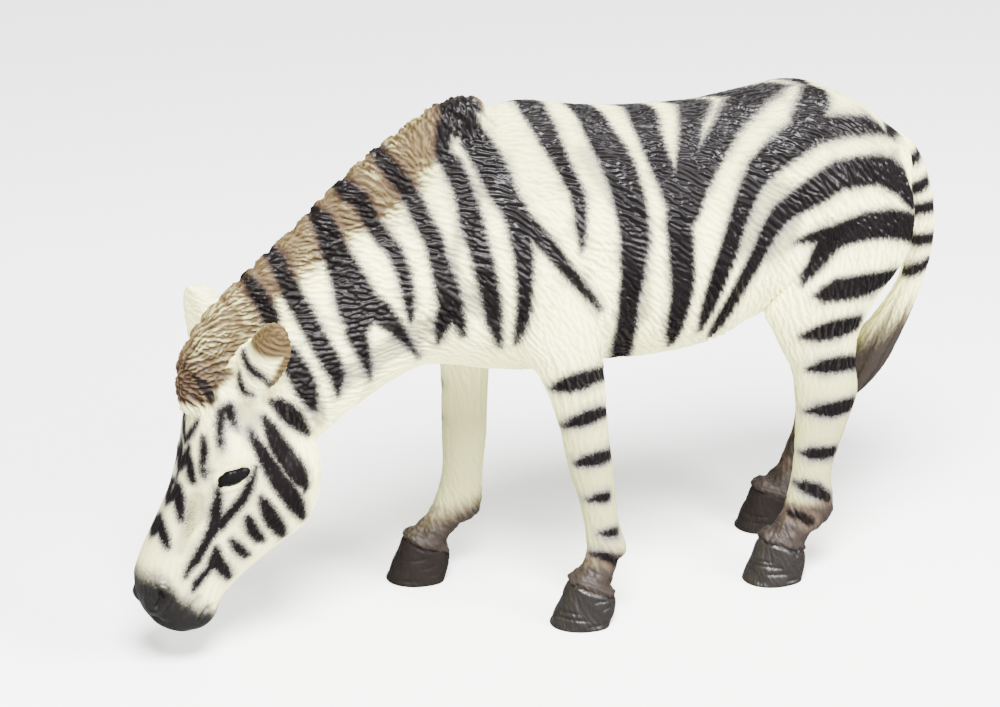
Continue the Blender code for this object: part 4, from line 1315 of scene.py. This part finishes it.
def coat_paint():
    """Cream plastic with sprayed tan and brown and brushed near-black stripes, and painted shade in the
    grooves, dents and folds, on the legs, the face and the top of the back.
    """
    s = Shader("painted_coat")
    cloud, fine = s.noise(260, 3.0, 0.55), s.noise(2300, 3.0, 0.6)
    dots, grain = s.minus(s.noise(5600, 2.0, 0.6), 0.5), s.minus(fine, 0.5)
    relief = s.minus(0.5, "hair")
    # How far up a ridge of the moulded hair each point lies; the grooves get painted shade.
    ridges = s.step("hair", 0.08, 0.80)

    tan = s.plus("tan", s.times(relief, 0.4), s.times(s.minus(cloud, 0.5), 1.1))
    tan = s.most(s.step(tan, 0.10, 0.95, 0.0, 0.985), "ear")
    # The forelock is a darker brown, strongest in its grooves, where it is painted shade.
    forelock_brown_and_shade = s.times(s.times("forelock", s.minus(1.25, "hair")), 1.1, clamp=True)
    brown = s.plus(s.most("pastern", "tuft", "far_hind_brown_and_shade"), s.times(relief, 0.14), s.times(grain, 0.25))
    thin_brown = s.step(brown, 0.05, 0.80, 0.0, 0.90)

    spray = s.plus("ink", s.times(dots, 1.6))
    drift = s.times(s.step(cloud, 0.38, 0.66, 0.45, 1.5), s.step(spray, -0.4, 1.6, 0.66, 0.0))
    drift = s.most(drift, s.step(spray, -0.15, 0.82, 0.94, 0.0))
    # The black thins a little on the higher ridges of the hair, in patches, and less where it is
    # polished.
    ridge_thinning = s.math("MULTIPLY_ADD", "hair", 0.5, s.times(s.noise(1500, 3.0, 0.6), 0.5))
    ridge_thinning = s.times(s.step(ridge_thinning, 0.50, 0.74, 0.0, 0.06), s.minus(1.0, "polish", clamp=True))
    edge = s.plus("ink", s.times(dots, 1.1), s.times(grain, 0.8))
    faint = s.plus("faint", s.times(dots, 2.5))
    mark = s.plus("mark", s.times(relief, 0.5))
    black = s.most(
        s.times(s.step(edge, -0.55, 0.32, 1.0, 0.0), s.minus(1.0, ridge_thinning)),
        s.step(faint, -0.1, 0.8, 0.6, 0.0),
        s.step(mark, 0.3, 0.9, 0.0, 0.9),
    )
    soot = s.plus("muzzle", s.times(dots, 0.3), s.times(grain, 0.4))
    muzzle, hoof = s.step(soot, 0.30, 0.95), s.step("hoof", 0.35, 0.65)
    eye, pupil = s.step("eye", -0.04, 0.06, 1.0, 0.0), s.step("eye", -0.5, -0.25, 1.0, 0.0)

    colour = layered(
        s.mix, GROOVE_SHADE_AND_MOTTLE_CREAM,
        # Painted shade: the cream is darker in the grooves of the moulded hair and full on its ridges.
        (s.blend(ridges, 0.46, 1.0), CREAM_PAINT),
        (s.step(cloud, 0.45, 0.75, 0.0, 0.10), GROOVE_SHADE_AND_MOTTLE_CREAM),
        # Painted shade in the carved dents, furrows and folds.
        (s.step("fold_shade", 0.04, 0.34, 0.0, 0.90), FOLD_SHADE_CREAM),
        # Painted shade on the legs, the face and the top of the back.
        ("painted_shade", SHADE_CREAM),
        # The tan is darker in the grooves of the strands: painted shade.
        (tan, s.mix(ridges, TAN_GROOVE_SHADE, TAN_PAINT)),
        # The forelock's darker brown, with painted shade in its grooves.
        (forelock_brown_and_shade, FORELOCK_BROWN_AND_SHADE),
        (thin_brown, BROWN_PAINT),
        (s.step(brown, 0.55, 1.05, 0.0, 0.97), DARK_BROWN),
        (drift, s.mix(s.most(tan, thin_brown), VEIL_PAINT, BROWN_VEIL)),
        (black, BLACK_PAINT),
        (s.step(soot, 0.05, 0.60, 0.0, 0.8), MUZZLE_SPRAY),
        (muzzle, MUZZLE_PAINT),
        (hoof, HOOF_PAINT),
        # The middle of the eye a touch lighter: a faint painted reflection.
        (eye, s.mix(pupil, BLACK_PAINT, PUPIL_REFLECTION_BLACK)),
    )
    rough = layered(
        s.blend, 0.44,
        (black, s.math("MULTIPLY_ADD", "polish", -0.06, 0.36)),
        (muzzle, 0.33),
        (hoof, 0.36),
        (eye, 0.10),
    )
    gloss = layered(
        s.blend, 0.35,
        (tan, 0.10),
        (black, s.math("MULTIPLY_ADD", "polish", 0.120, 0.060)),
        (s.times(thin_brown, 0.9), 0.06),
        (muzzle, 0.42),
        (hoof, s.math("MULTIPLY_ADD", "polish", 0.32, 0.02)),
        (eye, 0.02),
    )
    s.look(colour, rough, gloss)
    height = s.math("MULTIPLY_ADD", fine, 0.45, s.times("hair", 0.8))
    height = s.times(height, s.minus(1.0, eye))
    bump = {"Strength": 0.5, "Distance": 0.00009, "Height": height}
    s.put(s.node("Bump", bump, 0), s.surface.inputs["Normal"])
    return s.material


# The studio: how far the floor runs, how far it lies under the soles, how bright the room is, and
# how bright it is in reflections.
FLOOR_REACH = 14 * LENGTH
FLOOR_DROP = 0.0001
ROOM_LIGHT, ROOM_SHINE = 0.95, 0.45


def aim_back(thing, offset):
    """Moves a lamp or camera this far from what the camera looks at and turns it to look back."""
    thing.location = CAMERA_AIM + offset
    thing.rotation_mode = "QUATERNION"
    thing.rotation_quaternion = (-offset).to_track_quat("-Z", "Y")


def lay_floor():
    """A plain pale floor."""
    s = Shader("floor")
    s.look((0.93, 0.93, 0.93, 1), 0.9, 0.1)
    mesh = bpy.data.meshes.new("floor")
    r = FLOOR_REACH
    mesh.from_pydata([(-r, -r, 0), (r, -r, 0), (r, r, 0), (-r, r, 0)], [], [(0, 1, 2, 3)])
    mesh.materials.append(s.material)
    floor = put_in_scene("floor", mesh)
    floor.location.z = -FLOOR_DROP
    floor.visible_glossy = False


def light_up():
    """Soft white light from all sides, weaker in reflections, and three lamps."""
    world = bpy.data.worlds.new("studio")
    world.use_nodes = True
    world.node_tree.nodes["Background"].inputs["Color"].default_value = (1, 1, 1, 1)
    backdrop = world.node_tree.nodes["Background"].inputs["Strength"]
    rays = world.node_tree.nodes.new("ShaderNodeLightPath")
    dark = world.node_tree.nodes.new("ShaderNodeMath")
    dark.operation = "MULTIPLY_ADD"
    dark.inputs[1].default_value = ROOM_SHINE - ROOM_LIGHT
    dark.inputs[2].default_value = ROOM_LIGHT
    world.node_tree.links.new(rays.outputs["Is Glossy Ray"], dark.inputs[0])
    world.node_tree.links.new(dark.outputs[0], backdrop)
    bpy.context.scene.world = world
    right, up, back = camera_axes()

    # Name, place from what the camera looks at, breadth in metres, watts.
    lights = (
        ("key", right * 0.02 + up * 0.32 + back * 0.46, 0.26, 22.0),
        ("fill", right * 0.46 + up * 0.20 + back * 0.34, 0.30, 9.0),
        ("rim", right * 0.15 + up * 0.60 - back * 0.25, 0.30, 1.5),
    )
    for name, place, breadth, watts in lights:
        lamp = bpy.data.lights.new(name, "AREA")
        lamp.shape = "DISK"
        lamp.size, lamp.energy = breadth, watts
        aim_back(put_in_scene(name, lamp), place)


def place_camera():
    """The camera where the photograph was taken from."""
    lens = bpy.data.cameras.new("camera")
    lens.lens, lens.sensor_width = LENS, SENSOR
    lens.clip_start, lens.clip_end = 0.01, 10
    camera = put_in_scene("camera", lens)
    aim_back(camera, camera_axes()[2] * CAMERA_DISTANCE)
    bpy.context.scene.camera = camera


def main():
    paint = coat_paint()
    for piece in coat():
        piece.data.materials.append(paint)
        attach(piece, "root")
        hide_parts("zebra_figurine")
    lay_floor()
    light_up()
    place_camera()


main()
